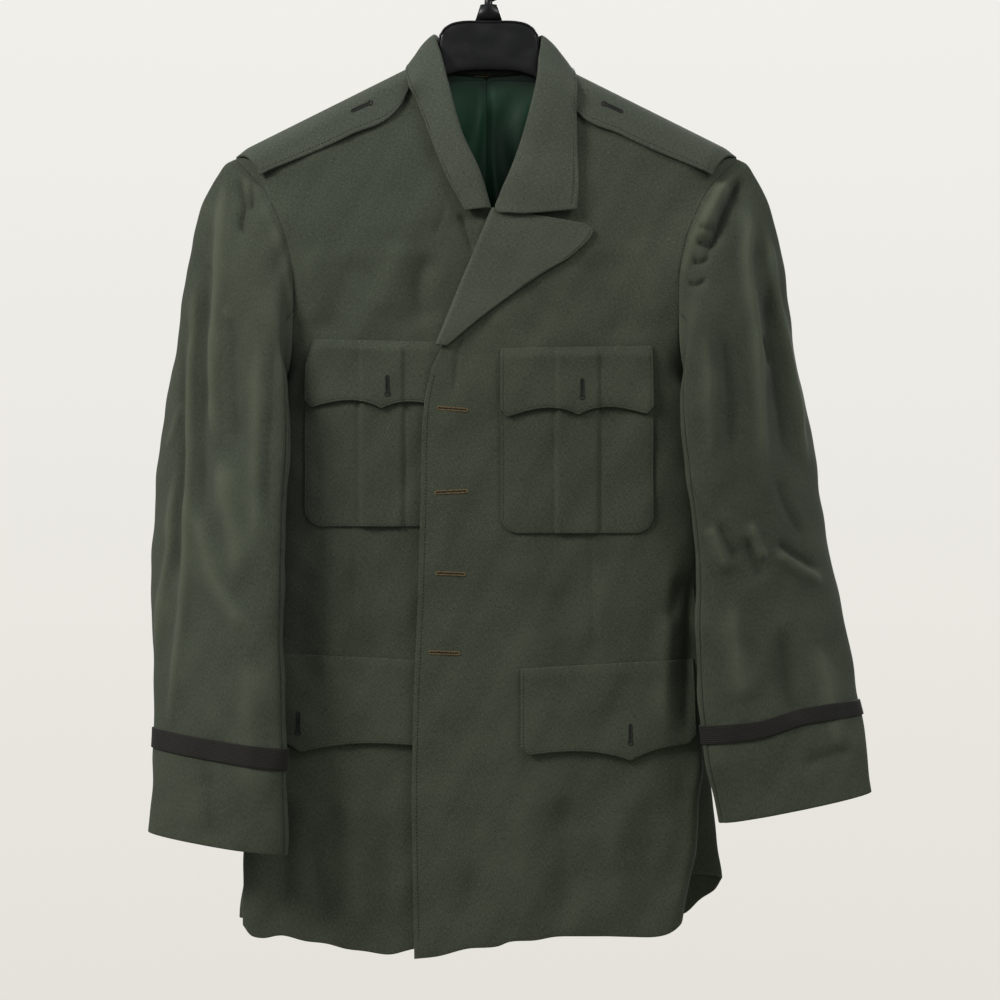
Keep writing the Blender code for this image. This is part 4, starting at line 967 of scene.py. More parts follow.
def sheet_piece(name, smooth_points, relief, thickness, looks, outside, closed=False, lined=None, painted_light=0.0):
    """A sheet of cloth about a grid of points: an outer and an inner skin that meet in a rounded rim.

    outside is a direction, or one for each point, that tells the outer skin. The relief moves the
    points that way along the sheet's normals. The thickness falls to a fifth over the last half
    thickness before a rim, as a quarter circle. lined tells which points of the inner skin take the
    second material. wear tells how far the crests of its folds are rubbed lighter. The sheet's flat size is
    measured before the relief."""
    rows, columns = smooth_points.shape[:2]
    normals = grid_normals(smooth_points, closed)
    side = 1 if np.sum(normals * outside) > 0 else -1
    middle = smooth_points + side * normals * relief[..., None]
    normals = side * grid_normals(middle, closed)
    across = lengths_along(smooth_points, 0)
    down = lengths_along(smooth_points, 1)
    to_rim = np.minimum(down, down[:, -1:] - down)
    if not closed:
        to_rim = np.minimum(to_rim, np.minimum(across, across[-1:, :] - across))
    share = np.clip(2 * to_rim / thickness, 0, 1)
    half = thickness / 2 * (0.2 + 0.8 * np.sqrt(1 - (1 - share) ** 2))
    outer = middle + normals * half[..., None]
    inner = middle - normals * half[..., None]
    points = np.concatenate([outer.reshape(-1, 3), inner.reshape(-1, 3)])
    skin, joins = grid_quads(rows, columns, closed)
    quads = np.concatenate([skin, skin[:, ::-1] + rows * columns, joins])
    if side < 0:
        quads = quads[:, ::-1]
    uv = np.stack([across, down], axis=-1).reshape(-1, 2)
    uv = np.concatenate([uv, uv])
    kinds = np.zeros(len(quads))
    if lined is not None:
        kinds[len(skin) : 2 * len(skin)] = (lined + np.zeros((rows, columns))).ravel()[skin[:, 0]]
    # The relief as a share of CREST_HEIGHT: painted highlight on crests and painted shade in hollows
    crests = painted_light * np.clip((relief + np.zeros((rows, columns))).ravel() / CREST_HEIGHT, -1, 1)
    made = mesh_piece(name, points, quads, looks, uv, kinds, np.concatenate([crests, crests]))
    a, b, c, d = (smooth_points.reshape(-1, 3)[skin[:, k]] for k in range(4))
    area = np.sum(np.linalg.norm(np.cross(c - a, d - b), axis=1)) / 2
    width, length = across[-1].max(), down[:, -1].max()
    if closed:
        width = width + np.linalg.norm(smooth_points[0] - smooth_points[-1], axis=-1).max()
    made["flat_size"] = [width * MM, length * MM, min(area, width * length) * MM * MM]
    return made


def flat_piece(name, points, thickness, kind, outside, closed=False):
    """A sheet of one cloth without folds of its own."""
    return sheet_piece(name, points, np.zeros(points.shape[:2]), thickness, [look(kind)], outside, closed)


def settle(piece, node):
    """The piece rides on the part, stands for its node and is declared as the cloth it is cut from."""
    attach(piece, "root")
    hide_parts(node)

# Colours as linear red, green, blue
SERGE = (0.036, 0.0415, 0.0275)
# Serge painted lighter for the collar, lapel and straps, which face the light from above: a lit copy,
# painted light
SERGE_PAINTED_LIT = (0.044, 0.050, 0.036)
SATIN = (0.005, 0.026, 0.012)
BRAID_DARK = (0.0065, 0.0058, 0.0042)
GOLD_THREAD = (0.095, 0.066, 0.028)
DARK_THREAD = (0.012, 0.013, 0.010)
# Near black inside the buttonholes' slits: painted shade of the opening
SLIT_PAINTED_SHADE = (0.003, 0.003, 0.003)
TAB = (0.15, 0.12, 0.055)
PLASTIC = (0.0045, 0.0045, 0.005)


def new_look(name, colour, roughness, sheen=0.0, specular=0.2):
    """A material, its node tree and its shader, with the values that are the same all over."""
    made = bpy.data.materials.new(name)
    made.use_nodes = True
    tree = made.node_tree
    shader = tree.nodes["Principled BSDF"]
    shader.inputs["Base Color"].default_value = (*colour, 1)
    shader.inputs["Roughness"].default_value = roughness
    shader.inputs["Sheen Weight"].default_value = sheen
    shader.inputs["Sheen Roughness"].default_value = 0.5
    shader.inputs["Specular IOR Level"].default_value = specular
    return made, tree, shader


def texture(tree, kind, coordinates, stretch, **settings):
    """A texture node on stretched coordinates; its settings are node properties or input values."""
    mapping = tree.nodes.new("ShaderNodeMapping")
    mapping.inputs["Scale"].default_value = stretch
    tree.links.new(coordinates, mapping.inputs["Vector"])
    node = tree.nodes.new(kind)
    for key, value in settings.items():
        if key in node.inputs:
            node.inputs[key].default_value = value
        else:
            setattr(node, key, value)
    tree.links.new(mapping.outputs["Vector"], node.inputs["Vector"])
    return node


def noise(tree, coordinates, stretch, **settings):
    """The value of a noise on stretched coordinates."""
    return texture(tree, "ShaderNodeTexNoise", coordinates, stretch, Scale=1.0, **settings).outputs["Fac"]


def bands(tree, coordinates, direction, scale, **settings):
    """The value of even bands, which run along or across the cloth's length."""
    settings.update(wave_type="BANDS", bands_direction=direction, Scale=scale)
    return texture(tree, "ShaderNodeTexWave", coordinates, (1, 1, 1), **settings).outputs["Fac"]


def blend(tree, share, low, high):
    """A colour between two colours or sockets, by a socket."""
    node = tree.nodes.new("ShaderNodeMix")
    node.data_type = "RGBA"
    tree.links.new(share, node.inputs["Factor"])
    for name, value in (("A", low), ("B", high)):
        socket = [entry for entry in node.inputs if entry.name == name and entry.type == "RGBA"][0]
        if isinstance(value, tuple):
            socket.default_value = (*value, 1)
        else:
            tree.links.new(value, socket)
    return [entry for entry in node.outputs if entry.type == "RGBA"][0]


def spread(tree, value, low, high, to_low, to_high):
    """A value mapped from one range to another, clamped."""
    node = tree.nodes.new("ShaderNodeMapRange")
    tree.links.new(value, node.inputs["Value"])
    for name, number in (("From Min", low), ("From Max", high), ("To Min", to_low), ("To Max", to_high)):
        node.inputs[name].default_value = number
    return node.outputs["Result"]


def total(tree, first, second, weight):
    """first + weight x second."""
    node = tree.nodes.new("ShaderNodeMath")
    node.operation = "MULTIPLY_ADD"
    tree.links.new(second, node.inputs[0])
    node.inputs[1].default_value = weight
    tree.links.new(first, node.inputs[2])
    return node.outputs["Value"]


def bump(tree, shader, height, distance, strength):
    node = tree.nodes.new("ShaderNodeBump")
    node.inputs["Distance"].default_value = distance
    node.inputs["Strength"].default_value = strength
    tree.links.new(height, node.inputs["Height"])
    tree.links.new(node.outputs["Normal"], shader.inputs["Normal"])


def shade(colour, factor):
    return tuple(channel * factor for channel in colour)


def serge(name, colour):
    """Wool serge: a fine twill, flecks along the weft, and cloudy changes of green and blue-grey."""
    made, tree, shader = new_look(name, colour, 0.9, 0.04, 0.12)
    places = tree.nodes.new("ShaderNodeTexCoord")
    length, place = places.outputs["UV"], places.outputs["Object"]
    fleck = noise(tree, length, (340, 1400, 1), Detail=3.0, Roughness=0.7)
    warp = noise(tree, length, (1400, 300, 1), Detail=3.0, Roughness=0.7)
    twill = bands(tree, length, "DIAGONAL", 380.0, Distortion=1.2, Detail=1.0)
    cloud = noise(tree, place, (9, 9, 22), Detail=3.0, Roughness=0.55)
    blue_tint_and_crest_light = noise(tree, place, (3, 3, 3), Detail=1.0)
    base = blend(tree, spread(tree, cloud, 0.35, 0.65, 0, 1), shade(colour, 0.88), shade(colour, 1.12))
    tint = (colour[0] * 0.9, colour[1] * 0.97, colour[2] * 1.12)
    base = blend(tree, spread(tree, blue_tint_and_crest_light, 0.4, 0.65, 0, 0.55), base, tint)
    base = blend(tree, spread(tree, fleck, 0.48, 0.68, 0, 0.75), base, shade(colour, 1.9))
    base = blend(tree, spread(tree, warp, 0.48, 0.68, 0, 0.75), base, shade(colour, 0.42))
    base = blend(tree, spread(tree, twill, 0.2, 0.8, 0.14, 0), base, shade(colour, 0.4))
    # Painted light: by the Crest attribute, crests are painted lighter, towards 1.9 times the colour, and
    # hollows darker, towards 0.35 times: painted highlight and painted shade
    crest = tree.nodes.new("ShaderNodeAttribute")
    crest.attribute_name = "Crest"
    bright = blend(tree, spread(tree, crest.outputs["Fac"], 0.05, 1.0, 0, 0.7), base, shade(colour, 1.9))
    base = blend(tree, spread(tree, crest.outputs["Fac"], -0.05, -1.0, 0, 0.6), bright, shade(colour, 0.35))
    tree.links.new(base, shader.inputs["Base Color"])
    height = total(tree, twill, fleck, 0.8)
    bump(tree, shader, total(tree, height, warp, 0.6), 0.00022, 0.55)
    return made


def satin():
    """Lining satin: smooth, with a soft shine and long faint threads."""
    made, tree, shader = new_look("lining satin", SATIN, 0.36, 0.05, 0.35)
    places = tree.nodes.new("ShaderNodeTexCoord")
    thread = noise(tree, places.outputs["UV"], (1600, 90, 1), Detail=2.0)
    cloud = noise(tree, places.outputs["Object"], (26, 26, 12), Detail=2.0)
    # Cloudy patches from half to nearly twice the satin's colour, laid at random: painted highlights and
    # shade of its shine
    base = blend(tree, spread(tree, cloud, 0.35, 0.7, 0, 1), shade(SATIN, 0.5), shade(SATIN, 1.9))
    base = blend(tree, spread(tree, thread, 0.45, 0.75, 0, 0.4), base, shade(SATIN, 1.7))
    tree.links.new(base, shader.inputs["Base Color"])
    roughness = spread(tree, cloud, 0.3, 0.7, 0.28, 0.46)
    tree.links.new(roughness, shader.inputs["Roughness"])
    bump(tree, shader, total(tree, thread, cloud, 2.0), 0.0003, 0.4)
    return made


def ribbed_braid():
    """Cuff braid: fine ribs that run along it."""
    made, tree, shader = new_look("cuff braid", BRAID_DARK, 0.8, 0.03)
    places = tree.nodes.new("ShaderNodeTexCoord")
    length = places.outputs["UV"]
    ribs = bands(tree, length, "Y", 190.0, Distortion=0.5)
    fleck = noise(tree, length, (500, 900, 1), Detail=2.0)
    base = blend(tree, ribs, shade(BRAID_DARK, 0.6), shade(BRAID_DARK, 1.35))
    base = blend(tree, spread(tree, fleck, 0.5, 0.8, 0, 0.4), base, shade(BRAID_DARK, 2.2))
    tree.links.new(base, shader.inputs["Base Color"])
    bump(tree, shader, total(tree, ribs, fleck, 0.5), 0.0003, 0.6)
    return made


def plain_thread(name, colour):
    made, tree, shader = new_look(name, colour, 0.7, 0.04)
    places = tree.nodes.new("ShaderNodeTexCoord")
    fleck = noise(tree, places.outputs["Object"], (900, 900, 900), Detail=2.0)
    base = blend(tree, spread(tree, fleck, 0.35, 0.7, 0, 1), shade(colour, 0.6), shade(colour, 1.4))
    tree.links.new(base, shader.inputs["Base Color"])
    bump(tree, shader, fleck, 0.0002, 0.5)
    return made


def woven_tab():
    made, tree, shader = new_look("woven tab", TAB, 0.75)
    places = tree.nodes.new("ShaderNodeTexCoord")
    weave = bands(tree, places.outputs["UV"], "Y", 420.0)
    fleck = noise(tree, places.outputs["UV"], (900, 1500, 1), Detail=2.0)
    base = blend(tree, weave, shade(TAB, 0.7), shade(TAB, 1.15))
    base = blend(tree, spread(tree, fleck, 0.4, 0.75, 0, 0.5), base, shade(TAB, 0.5))
    tree.links.new(base, shader.inputs["Base Color"])
    bump(tree, shader, weave, 0.0002, 0.5)
    return made


def moulded_plastic():
    """Black moulded plastic: a fine grain, and duller and shinier patches from handling."""
    made, tree, shader = new_look("moulded plastic", PLASTIC, 0.4, 0.0, 0.22)
    places = tree.nodes.new("ShaderNodeTexCoord")
    grain = noise(tree, places.outputs["Object"], (1400, 1400, 1400), Detail=2.0)
    patch = noise(tree, places.outputs["Object"], (40, 40, 60), Detail=3.0)
    base = blend(tree, spread(tree, patch, 0.4, 0.7, 0, 1), shade(PLASTIC, 0.85), shade(PLASTIC, 1.5))
    tree.links.new(base, shader.inputs["Base Color"])
    tree.links.new(spread(tree, patch, 0.35, 0.7, 0.3, 0.48), shader.inputs["Roughness"])
    bump(tree, shader, grain, 0.0001, 0.35)
    return made


LOOKS = {}


def look(name):
    """The material of this name, made once."""
    makers = {
        "serge": lambda: serge("wool serge", SERGE),
        # The lit copy of the serge: painted light on the upward-facing collar, lapel and straps
        "light": lambda: serge("wool serge lit", SERGE_PAINTED_LIT),
        "satin": satin,
        "braid": ribbed_braid,
        "gold": lambda: plain_thread("buttonhole thread", GOLD_THREAD),
        "dark": lambda: plain_thread("dark thread", DARK_THREAD),
        # The slits' near black is painted shade of the opening between the threads
        "slit": lambda: plain_thread("painted shade in a slit", SLIT_PAINTED_SHADE),
        "tab": woven_tab,
        "plastic": moulded_plastic,
    }
    if name not in LOOKS:
        LOOKS[name] = makers[name]()
    return LOOKS[name]

# Thread: radius, stitch length and the gap between two
THREAD_RADIUS, STITCH_LENGTH, STITCH_GAP = 0.24, 2.3, 0.7
STITCH_FROM_EDGE = 2.4
# The groove that a row of stitches draws in: depth and width
GROOVE_DEPTH, GROOVE_WIDTH = 0.35, 0.7
# Buttonholes: thread width beside the slit, pitch of its stitches, radius of the eyelet
HOLE_THREAD, HOLE_PITCH, EYELET_RADIUS = 1.7, 0.62, 1.5
# Half width of the slit between its threads and at its own widest, the threads' radius and height
SLIT_HALF, SLIT_BODY_HALF, HOLE_THREAD_RADIUS, HOLE_THREAD_RISE = 0.35, 0.42, 0.3, 0.12
# Heights where the pockets' stitching starts and between which the front edge's runs, and how far in
POCKET_STITCH_TOP, FRONT_STITCHING, FRONT_STITCH_IN = -435, (-392, -896), 4.5
# Front buttonholes: start x, start z, end x, end z
FRONT_HOLES = (
    (-43, -421.5, -17, -423.5),
    (-45, -497.5, -17, -496),
    (-44, -569.5, -19, -570.5),
    (-50, -640.5, -24, -641.5),
)
# Lower flaps: distance of the point from the middle line, and how far past the seen half they run on
LOWER_POINT_LEFT, LOWER_POINT_RIGHT, LOWER_OUTER_REACH = 130.0, 166.0, 1.3
# Flap buttonholes: distance from the middle line, top z, bottom z, with the eyelet at the bottom
FLAP_HOLES = (
    ("breast_flap", "left", 85.5, -396, -412),
    ("breast_flap", "right", 88.5, -393, -409),
    ("lower_flap", "left", 130, -706, -722),
    ("lower_flap", "right", 168, -695, -713),
)
# Strap buttonholes: share of the strap's length at the eyelet and at the far end, place across it
STRAP_HOLES = (("right", 0.27, 0.38, -0.62), ("left", 0.28, 0.39, -0.62))


def groove(from_rim):
    """Depth of the groove along the stitching at a distance from the rim."""
    return GROOVE_DEPTH * np.exp(-(((from_rim - STITCH_FROM_EDGE) / GROOVE_WIDTH) ** 2))


def flap_height(spec, rows, offset, from_rim):
    """How far a flap's middle surface lies above the panel's, with a groove along its stitching."""
    over = PANEL / 2 + POCKET / 2 + 0.2 + np.zeros(np.shape(rows + offset))
    if spec["pleat"]:
        over = over + smooth(rows / 0.16) * (POCKET + 0.35 + pleat(offset)) + 1.4 * rows**2
    else:
        over = over + 0.8 * smooth(rows / 0.1) + 1.6 * rows**2
    return over - groove(from_rim)


def flap_outline(kind, spec, moved, steps):
    """Top height and length of a flap at shares from -1 to 1 across it."""
    middle, half = middle_and_half(spec)
    middle = middle + moved["across"]
    if kind == "lower_flap":
        point_at = (LOWER_POINT_RIGHT if moved["across"] else LOWER_POINT_LEFT) - middle
    else:
        point_at = 0.0
    from_point = steps * half - point_at
    reach = np.where(from_point > 0, LOWER_OUTER_REACH * half - point_at, half + point_at)
    share = np.abs(from_point) / reach
    if kind == "breast_flap":
        share = np.abs(steps)
    share = np.clip(share, 0, 1)
    dip = np.sin(np.pi * share**0.8)
    scallop = spec["side"] - spec["dip"] * dip + (spec["point"] - spec["side"]) * (1 - share) ** 2
    corner = smooth((np.abs(steps) - FLAP_CORNER_START) / (1 - FLAP_CORNER_START)) ** 1.5
    slope = LOWER_FLAP_SLOPE if kind == "lower_flap" else BREAST_FLAP_SLOPE
    return spec["top"] + moved["up"] + slope * (steps + 1) / 2, scallop - FLAP_CORNER_CUT * corner


def strap_lift(a):
    """How far a strap's middle surface lies above the cloth. Its outer end is sewn down into the armhole."""
    return (PANEL / 2 + STRAP / 2 + STRAP_GAP - 0.9) * (1 - 0.7 * smooth((a - 0.93) / 0.07))


def pocket_height(offset, from_rim):
    """How far a breast pocket's middle surface lies above the panel's: its pleat and two grooves."""
    fold = -0.9 * np.exp(-(((np.abs(offset) - PLEAT_HALF_WIDTH - 1.5) / 1.2) ** 2))
    return PANEL / 2 + POCKET / 2 + 0.2 + pleat(offset) + fold - groove(from_rim)


def on_front(name, distance, z, over, level):
    """Points and normals at pairs of distance and height over a front panel, its folds included."""
    flat = np.zeros(np.shape(distance))
    distance, z, over = (np.asarray(value, float) + flat for value in (distance, z, over))
    points, normals = front_sheet(name, distance, z[:, None], over[:, None], level)
    relief = body_relief(points[..., 0], points[..., 2], False)
    return (points + normals * relief[..., None])[:, 0], normals[:, 0]


def along_path(points, normals, pitch):
    """Evenly spaced points along a path, with their normals and the way along it."""
    lengths = np.concatenate([[0], np.cumsum(np.linalg.norm(np.diff(points, axis=0), axis=1))])
    count = max(2, int(lengths[-1] / pitch))
    at = np.linspace(pitch / 2, lengths[-1] - pitch / 2, count)

    def read(values, where):
        return np.stack([np.interp(where, lengths, column) for column in values.T], axis=1)

    places = read(points, at)
    return places, unit(read(points, at + 0.3) - read(points, at - 0.3)), unit(read(normals, at))


def stitches(places, way, up, length, radius):
    """Small spindles of thread that bow up from the cloth: points and quads of all of them."""
    along = np.array([-0.5, -0.34, 0.0, 0.34, 0.5])
    width = np.array([0.35, 0.9, 1.0, 0.9, 0.35])
    bow = np.array([-0.7, 0.15, 0.55, 0.15, -0.7])
    angles = np.linspace(0, 2 * np.pi, 6, endpoint=False)
    side = np.cross(way, up)
    centre = (
        places[:, None, :]
        + way[:, None, :] * (along * length)[None, :, None]
        + up[:, None, :] * (bow * radius)[None, :, None]
    )
    ring = (
        side[:, None, None, :] * np.cos(angles)[None, None, :, None]
        + up[:, None, None, :] * np.sin(angles)[None, None, :, None]
    )
    points = centre[:, :, None, :] + ring * (width * radius)[None, :, None, None]
    count, rows, round_count = points.shape[:3]
    quads = tube_quads(rows, round_count)
    steps = np.arange(count)[:, None, None] * rows * round_count
    return points.reshape(-1, 3), (quads[None] + steps).reshape(-1, 4)


def joined(parts):
    """Points and quads of several bodies as one."""
    points, quads, first = [], [], 0
    for body_points, body_quads in parts:
        points.append(body_points)
        quads.append(body_quads + first)
        first += len(body_points)
    return np.concatenate(points), np.concatenate(quads)


def add_detail(name, parts, material):
    """One piece made of many small bodies, which rides on the part."""
    points, quads = joined(parts)
    if signed_volume(points, quads) < 0:
        quads = quads[:, ::-1]
    piece = mesh_piece(name, points, quads, [material])
    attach(piece, "root")


def sewn(points, normals):
    """A row of stitches along a path."""
    places, way, up = along_path(points, normals, STITCH_LENGTH + STITCH_GAP)
    return stitches(places, way, up, STITCH_LENGTH, THREAD_RADIUS)


def front_path(name, distance, z, over, level):
    """A row of stitches on a front panel or on what lies on it."""
    points, normals = on_front(name, distance, z, over, level)
    return sewn(points + normals * 0.1, normals)


def make_stitching():
    """Rows of stitches along the flaps, pockets, straps, lapel and front edge."""
    rows_of_thread = []
    for kind, spec, shift in FLAPS:
        middle, half = middle_and_half(spec)
        for side, name in SIDES:
            moved = shift if side == "right" else UNMOVED
            at_side = 1 - STITCH_FROM_EDGE / half
            steps = np.linspace(-at_side, at_side, 60)
            steps = np.concatenate([np.full(24, -at_side), steps, np.full(24, at_side)])
            top, length = flap_outline(kind, spec, moved, steps)
            low = 1 - STITCH_FROM_EDGE / length
            rows = np.concatenate([np.linspace(0.03, 1, 24), np.ones(60), np.linspace(1, 0.03, 24)]) * low
            over = flap_height(spec, rows, steps * half, STITCH_FROM_EDGE) + POCKET / 2
            distance = middle + moved["across"] + steps * half
            rows_of_thread.append(front_path(name, distance, top - length * rows, over, spec["level"]))
    spec = BREAST_POCKET
    middle, half = middle_and_half(spec)
    for side, name in SIDES:
        moved = RIGHT_BREAST_SHIFT if side == "right" else UNMOVED
        reach = half - STITCH_FROM_EDGE
        radius = spec["corner"] - STITCH_FROM_EDGE
        turn = np.radians(np.linspace(0, 90, 14))
        low = spec["bottom"] + moved["up"] + STITCH_FROM_EDGE
        offset = np.concatenate([
            np.full(20, -reach),
            -reach + radius * (1 - np.cos(turn)),
            np.linspace(-reach + radius, reach - radius, 40),
            reach - radius + radius * np.sin(turn),
            np.full(20, reach),
        ])
        start = POCKET_STITCH_TOP + moved["up"]
        z = np.concatenate([
            np.linspace(start, low + radius, 20),
            low + radius * (1 - np.sin(turn)),
            np.full(40, low),
            low + radius * (1 - np.cos(turn)),
            np.linspace(low + radius, start, 20),
        ])
        over = pocket_height(offset, STITCH_FROM_EDGE) + POCKET / 2
        rows_of_thread.append(front_path(name, middle + moved["across"] + offset, z, over, spec["level"]))
    z = np.linspace(*FRONT_STITCHING, 160)
    edge = table(-z, [(-below, along) for along, below in LEFT_FRONT_EDGE[8:]])[..., 0]
    rows_of_thread.append(front_path("left_front", edge + FRONT_STITCH_IN, z, PANEL / 2, -600))
    for sign in (-1, 1):
        for line in (-0.93, 0.93):
            a = np.linspace(0.03, 0.99, 80)[:, None]
            points = strap_surface(sign, a, np.array([[line - 0.01, line, line + 0.01]]))
            normals = outward(grid_normals(points, False), UPWARD)[:, 1]
            rows_of_thread.append(sewn(points[:, 1] + normals * (strap_lift(a) + STRAP / 2), normals))
    b = 1 - 2.6 / 90
    a = np.linspace(0.05, 0.97, 90)[:, None]
    points = lapel_surface(a, np.array([[b - 0.02, b, b + 0.01]]))
    normals = outward(grid_normals(points, False), FORWARD)[:, 1]
    rows_of_thread.append(sewn(points[:, 1] + normals * (COLLAR / 2 + 0.05), normals))
    s = np.linspace(0.02, 0.985, 200)[:, None]
    points = collar_surface(s, np.array([[0.94, 0.953, 0.966]]))
    normals = grid_normals(points, False)[:, 1]
    away = (points[:, 1] - np.array([0, -8.0, 0])) * np.array([1.0, 1, 0])
    normals = normals * np.sign(np.sum(normals * away, axis=1, keepdims=True))
    rows_of_thread.append(sewn(points[:, 1] + normals * (COLLAR / 2 + 0.05), normals))
    add_detail("edge_stitching", rows_of_thread, look("dark"))


def buttonhole(points, normals, eyelet_at_end):
    """Thread stitches round a slit, and the dark slit itself, along a short path on the cloth."""
    places, way, up = along_path(points, normals, HOLE_PITCH)
    side = np.cross(way, up)
    threads = []
    for turn in (-1, 1):
        centre = places + side * turn * (SLIT_HALF + HOLE_THREAD / 2) + up * HOLE_THREAD_RISE
        threads.append(stitches(centre, side * turn, up, HOLE_THREAD, HOLE_THREAD_RADIUS))
    end_radius = EYELET_RADIUS if eyelet_at_end else SLIT_HALF
    for index, facing, radius in ((0, -1.0, SLIT_HALF), (-1, 1.0, end_radius)):
        start, end = (0, 360) if radius > 1 else (-90, 90)
        spread_out = np.radians(np.linspace(start, end, 30 if radius > 1 else 9))
        turned = np.stack([np.cos(spread_out), np.sin(spread_out)])[..., None]
        out = way[index] * facing * turned[0] + side[index] * turned[1]
        length = HOLE_THREAD * 0.8
        centre = places[index] + out * (radius + length / 2) + up[index] * HOLE_THREAD_RISE
        threads.append(stitches(centre, out, np.tile(up[index], (len(out), 1)), length, HOLE_THREAD_RADIUS))
    width = np.full(len(places), SLIT_BODY_HALF)
    if eyelet_at_end:
        reach = np.linalg.norm(places - places[-1], axis=1)
        width = np.maximum(width, np.sqrt(np.maximum(EYELET_RADIUS**2 - reach**2, 0)))
    # The slit's body is near black: painted shade where the slit opens between the threads
    rings = []
    for angle in np.linspace(0, 2 * np.pi, 8, endpoint=False):
        rings.append(places + side * (width * np.cos(angle))[:, None] + up * (0.1 + 0.08 * np.sin(angle)))
    slit = np.stack(rings, axis=1)
    slit_quads = tube_quads(len(places), 8)
    return threads, (slit.reshape(-1, 3), slit_quads)


def make_buttonholes():
    """The four bright front buttonholes, and the dark keyhole ones of the flaps and straps."""
    gold, dark, slits = [], [], []
    for start_x, start_z, end_x, end_z in FRONT_HOLES:
        x, z = np.linspace(start_x, end_x, 30), np.linspace(start_z, end_z, 30)
        points, normals = on_front("left_front", x, z, PANEL / 2, -500)
        threads, slit = buttonhole(points, normals, False)
        gold += threads
        slits.append(slit)
    specs = {kind: (spec, shift) for kind, spec, shift in FLAPS}
    for kind, side, distance, top_z, bottom_z in FLAP_HOLES:
        spec, shift = specs[kind]
        moved = shift if side == "right" else UNMOVED
        middle, half = middle_and_half(spec)
        middle = middle + moved["across"]
        z = np.linspace(top_z, bottom_z, 24)
        top, length = flap_outline(kind, spec, moved, np.array([(distance - middle) / half]))
        over = flap_height(spec, (top - z) / length, distance - middle, 20.0) + POCKET / 2
        points, normals = on_front(dict(SIDES)[side], np.full(24, distance), z, over, spec["level"])
        threads, slit = buttonhole(points, normals, True)
        dark += threads
        slits.append(slit)
    for side, eyelet, far, across in STRAP_HOLES:
        sign = -1 if side == "right" else 1
        a = np.linspace(far, eyelet, 24)[:, None]
        points = strap_surface(sign, a, across + np.array([[-0.02, 0, 0.02]]))
        normals = outward(grid_normals(points, False), UPWARD)[:, 1]
        points = points[:, 1] + normals * (strap_lift(a) + STRAP / 2)
        threads, slit = buttonhole(points, normals, True)
        dark += threads
        slits.append(slit)
    add_detail("front_buttonhole_thread", gold, look("gold"))
    add_detail("flap_buttonhole_thread", dark, look("dark"))
    add_detail("buttonhole_slits", slits, look("slit"))


FORWARD, UPWARD = np.array([0, -1.0, 0]), np.array([0, 0, 1.0])
# Points across and down the panels
FRONT_POINTS, BACK_POINTS = (132, 190), (90, 140)
# Each sleeve part: name, its two seams' angles, points across and down
SLEEVE_PARTS = (
    ("top_sleeve", FRONT_SEAM_ANGLE, BACK_SEAM_ANGLE, 108, 224),
    ("under_sleeve", BACK_SEAM_ANGLE, FRONT_SEAM_ANGLE + 360, 58, 130),
)
# Half the gap between the two parts of a sleeve at a seam, in degrees, and the depth of the seam's groove
SLEEVE_SEAM_GAP, SLEEVE_SEAM_DEPTH = 0.15, 0.8
# How much closer than even the rows of a panel lie near the shoulder
SHOULDER_CROWDING = 1.15
# Shares of a front panel's width that its serge facing takes, and of its length that is lined
FACING_SHARE, LINED_SHARE, SLEEVE_LINED_SHARE = 0.3, 0.965, 0.93


def make_panels():
    """Front and back panels: serge outside, satin inside, with a serge facing along the front edges."""
    looks = [look("serge"), look("satin")]
    for name, spec in PANELS.items():
        across, along = BACK_POINTS if spec["back"] else FRONT_POINTS
        u = stations(across, 270, PANEL / 2)[:, None]
        down = stations(along, 830, PANEL / 2)
        crowded = UNDERARM_ROW * (down / UNDERARM_ROW) ** SHOULDER_CROWDING
        v = np.where(down < UNDERARM_ROW, crowded, down)[None, :]
        points = panel(name, u + 0 * v, v + 0 * u)
        points[:, 0, 1] += SEAM_GAP / 2 if spec["back"] else -SEAM_GAP / 2
        if spec["back"]:
            points[0, :, 0] = 0
        relief = body_relief(points[..., 0], points[..., 2], spec["back"])
        relief = relief * smooth((1 - u) / 0.04)
        facing = 0.0 if spec["back"] else FACING_SHARE
        lined = (u + 0 * v > facing) & (v < LINED_SHARE)
        # The body's fold crests are painted lighter and its hollows darker: painted highlight and painted
        # shade
        outside = -FORWARD if spec["back"] else FORWARD
        cloth = dict(lined=lined, painted_light=BODY_PAINTED_LIGHT)
        piece = sheet_piece(name + "_cloth", points, relief, PANEL, looks, outside, **cloth)
        settle(piece, name)


def make_sleeves():
    """Top and under sleeves, with satin inside except at the cuff."""
    looks = [look("serge"), look("satin")]
    gap = SLEEVE_SEAM_GAP
    for side in ("right", "left"):
        for name, low, high, across, along in SLEEVE_PARTS:
            u = low + gap + (high - low - 2 * gap) * stations(across, 150, PANEL / 2)[:, None]
            v = stations(along, 610, PANEL / 2)[None, :]
            points = sleeve(side, u, v)
            relief = sleeve_relief(side, points, u + 0 * v, v)
            seam = np.minimum(u - low, high - u) / 4
            relief = relief - SLEEVE_SEAM_DEPTH * np.exp(-(seam**2)) * smooth(v / 0.03)
            outside = points - sleeve(side, u + 180, v)
            outside[:, : len(v[0]) // 3] = 0
            # The sleeves' fold crests are painted lighter and their hollows darker: painted highlight and
            # painted shade
            cloth = dict(lined=(v < SLEEVE_LINED_SHARE).astype(float), painted_light=SLEEVE_PAINTED_LIGHT)
            piece = sheet_piece(f"{name}_{side}_cloth", points, relief, PANEL, looks, outside, **cloth)
            settle(piece, f"{name}_{side}")


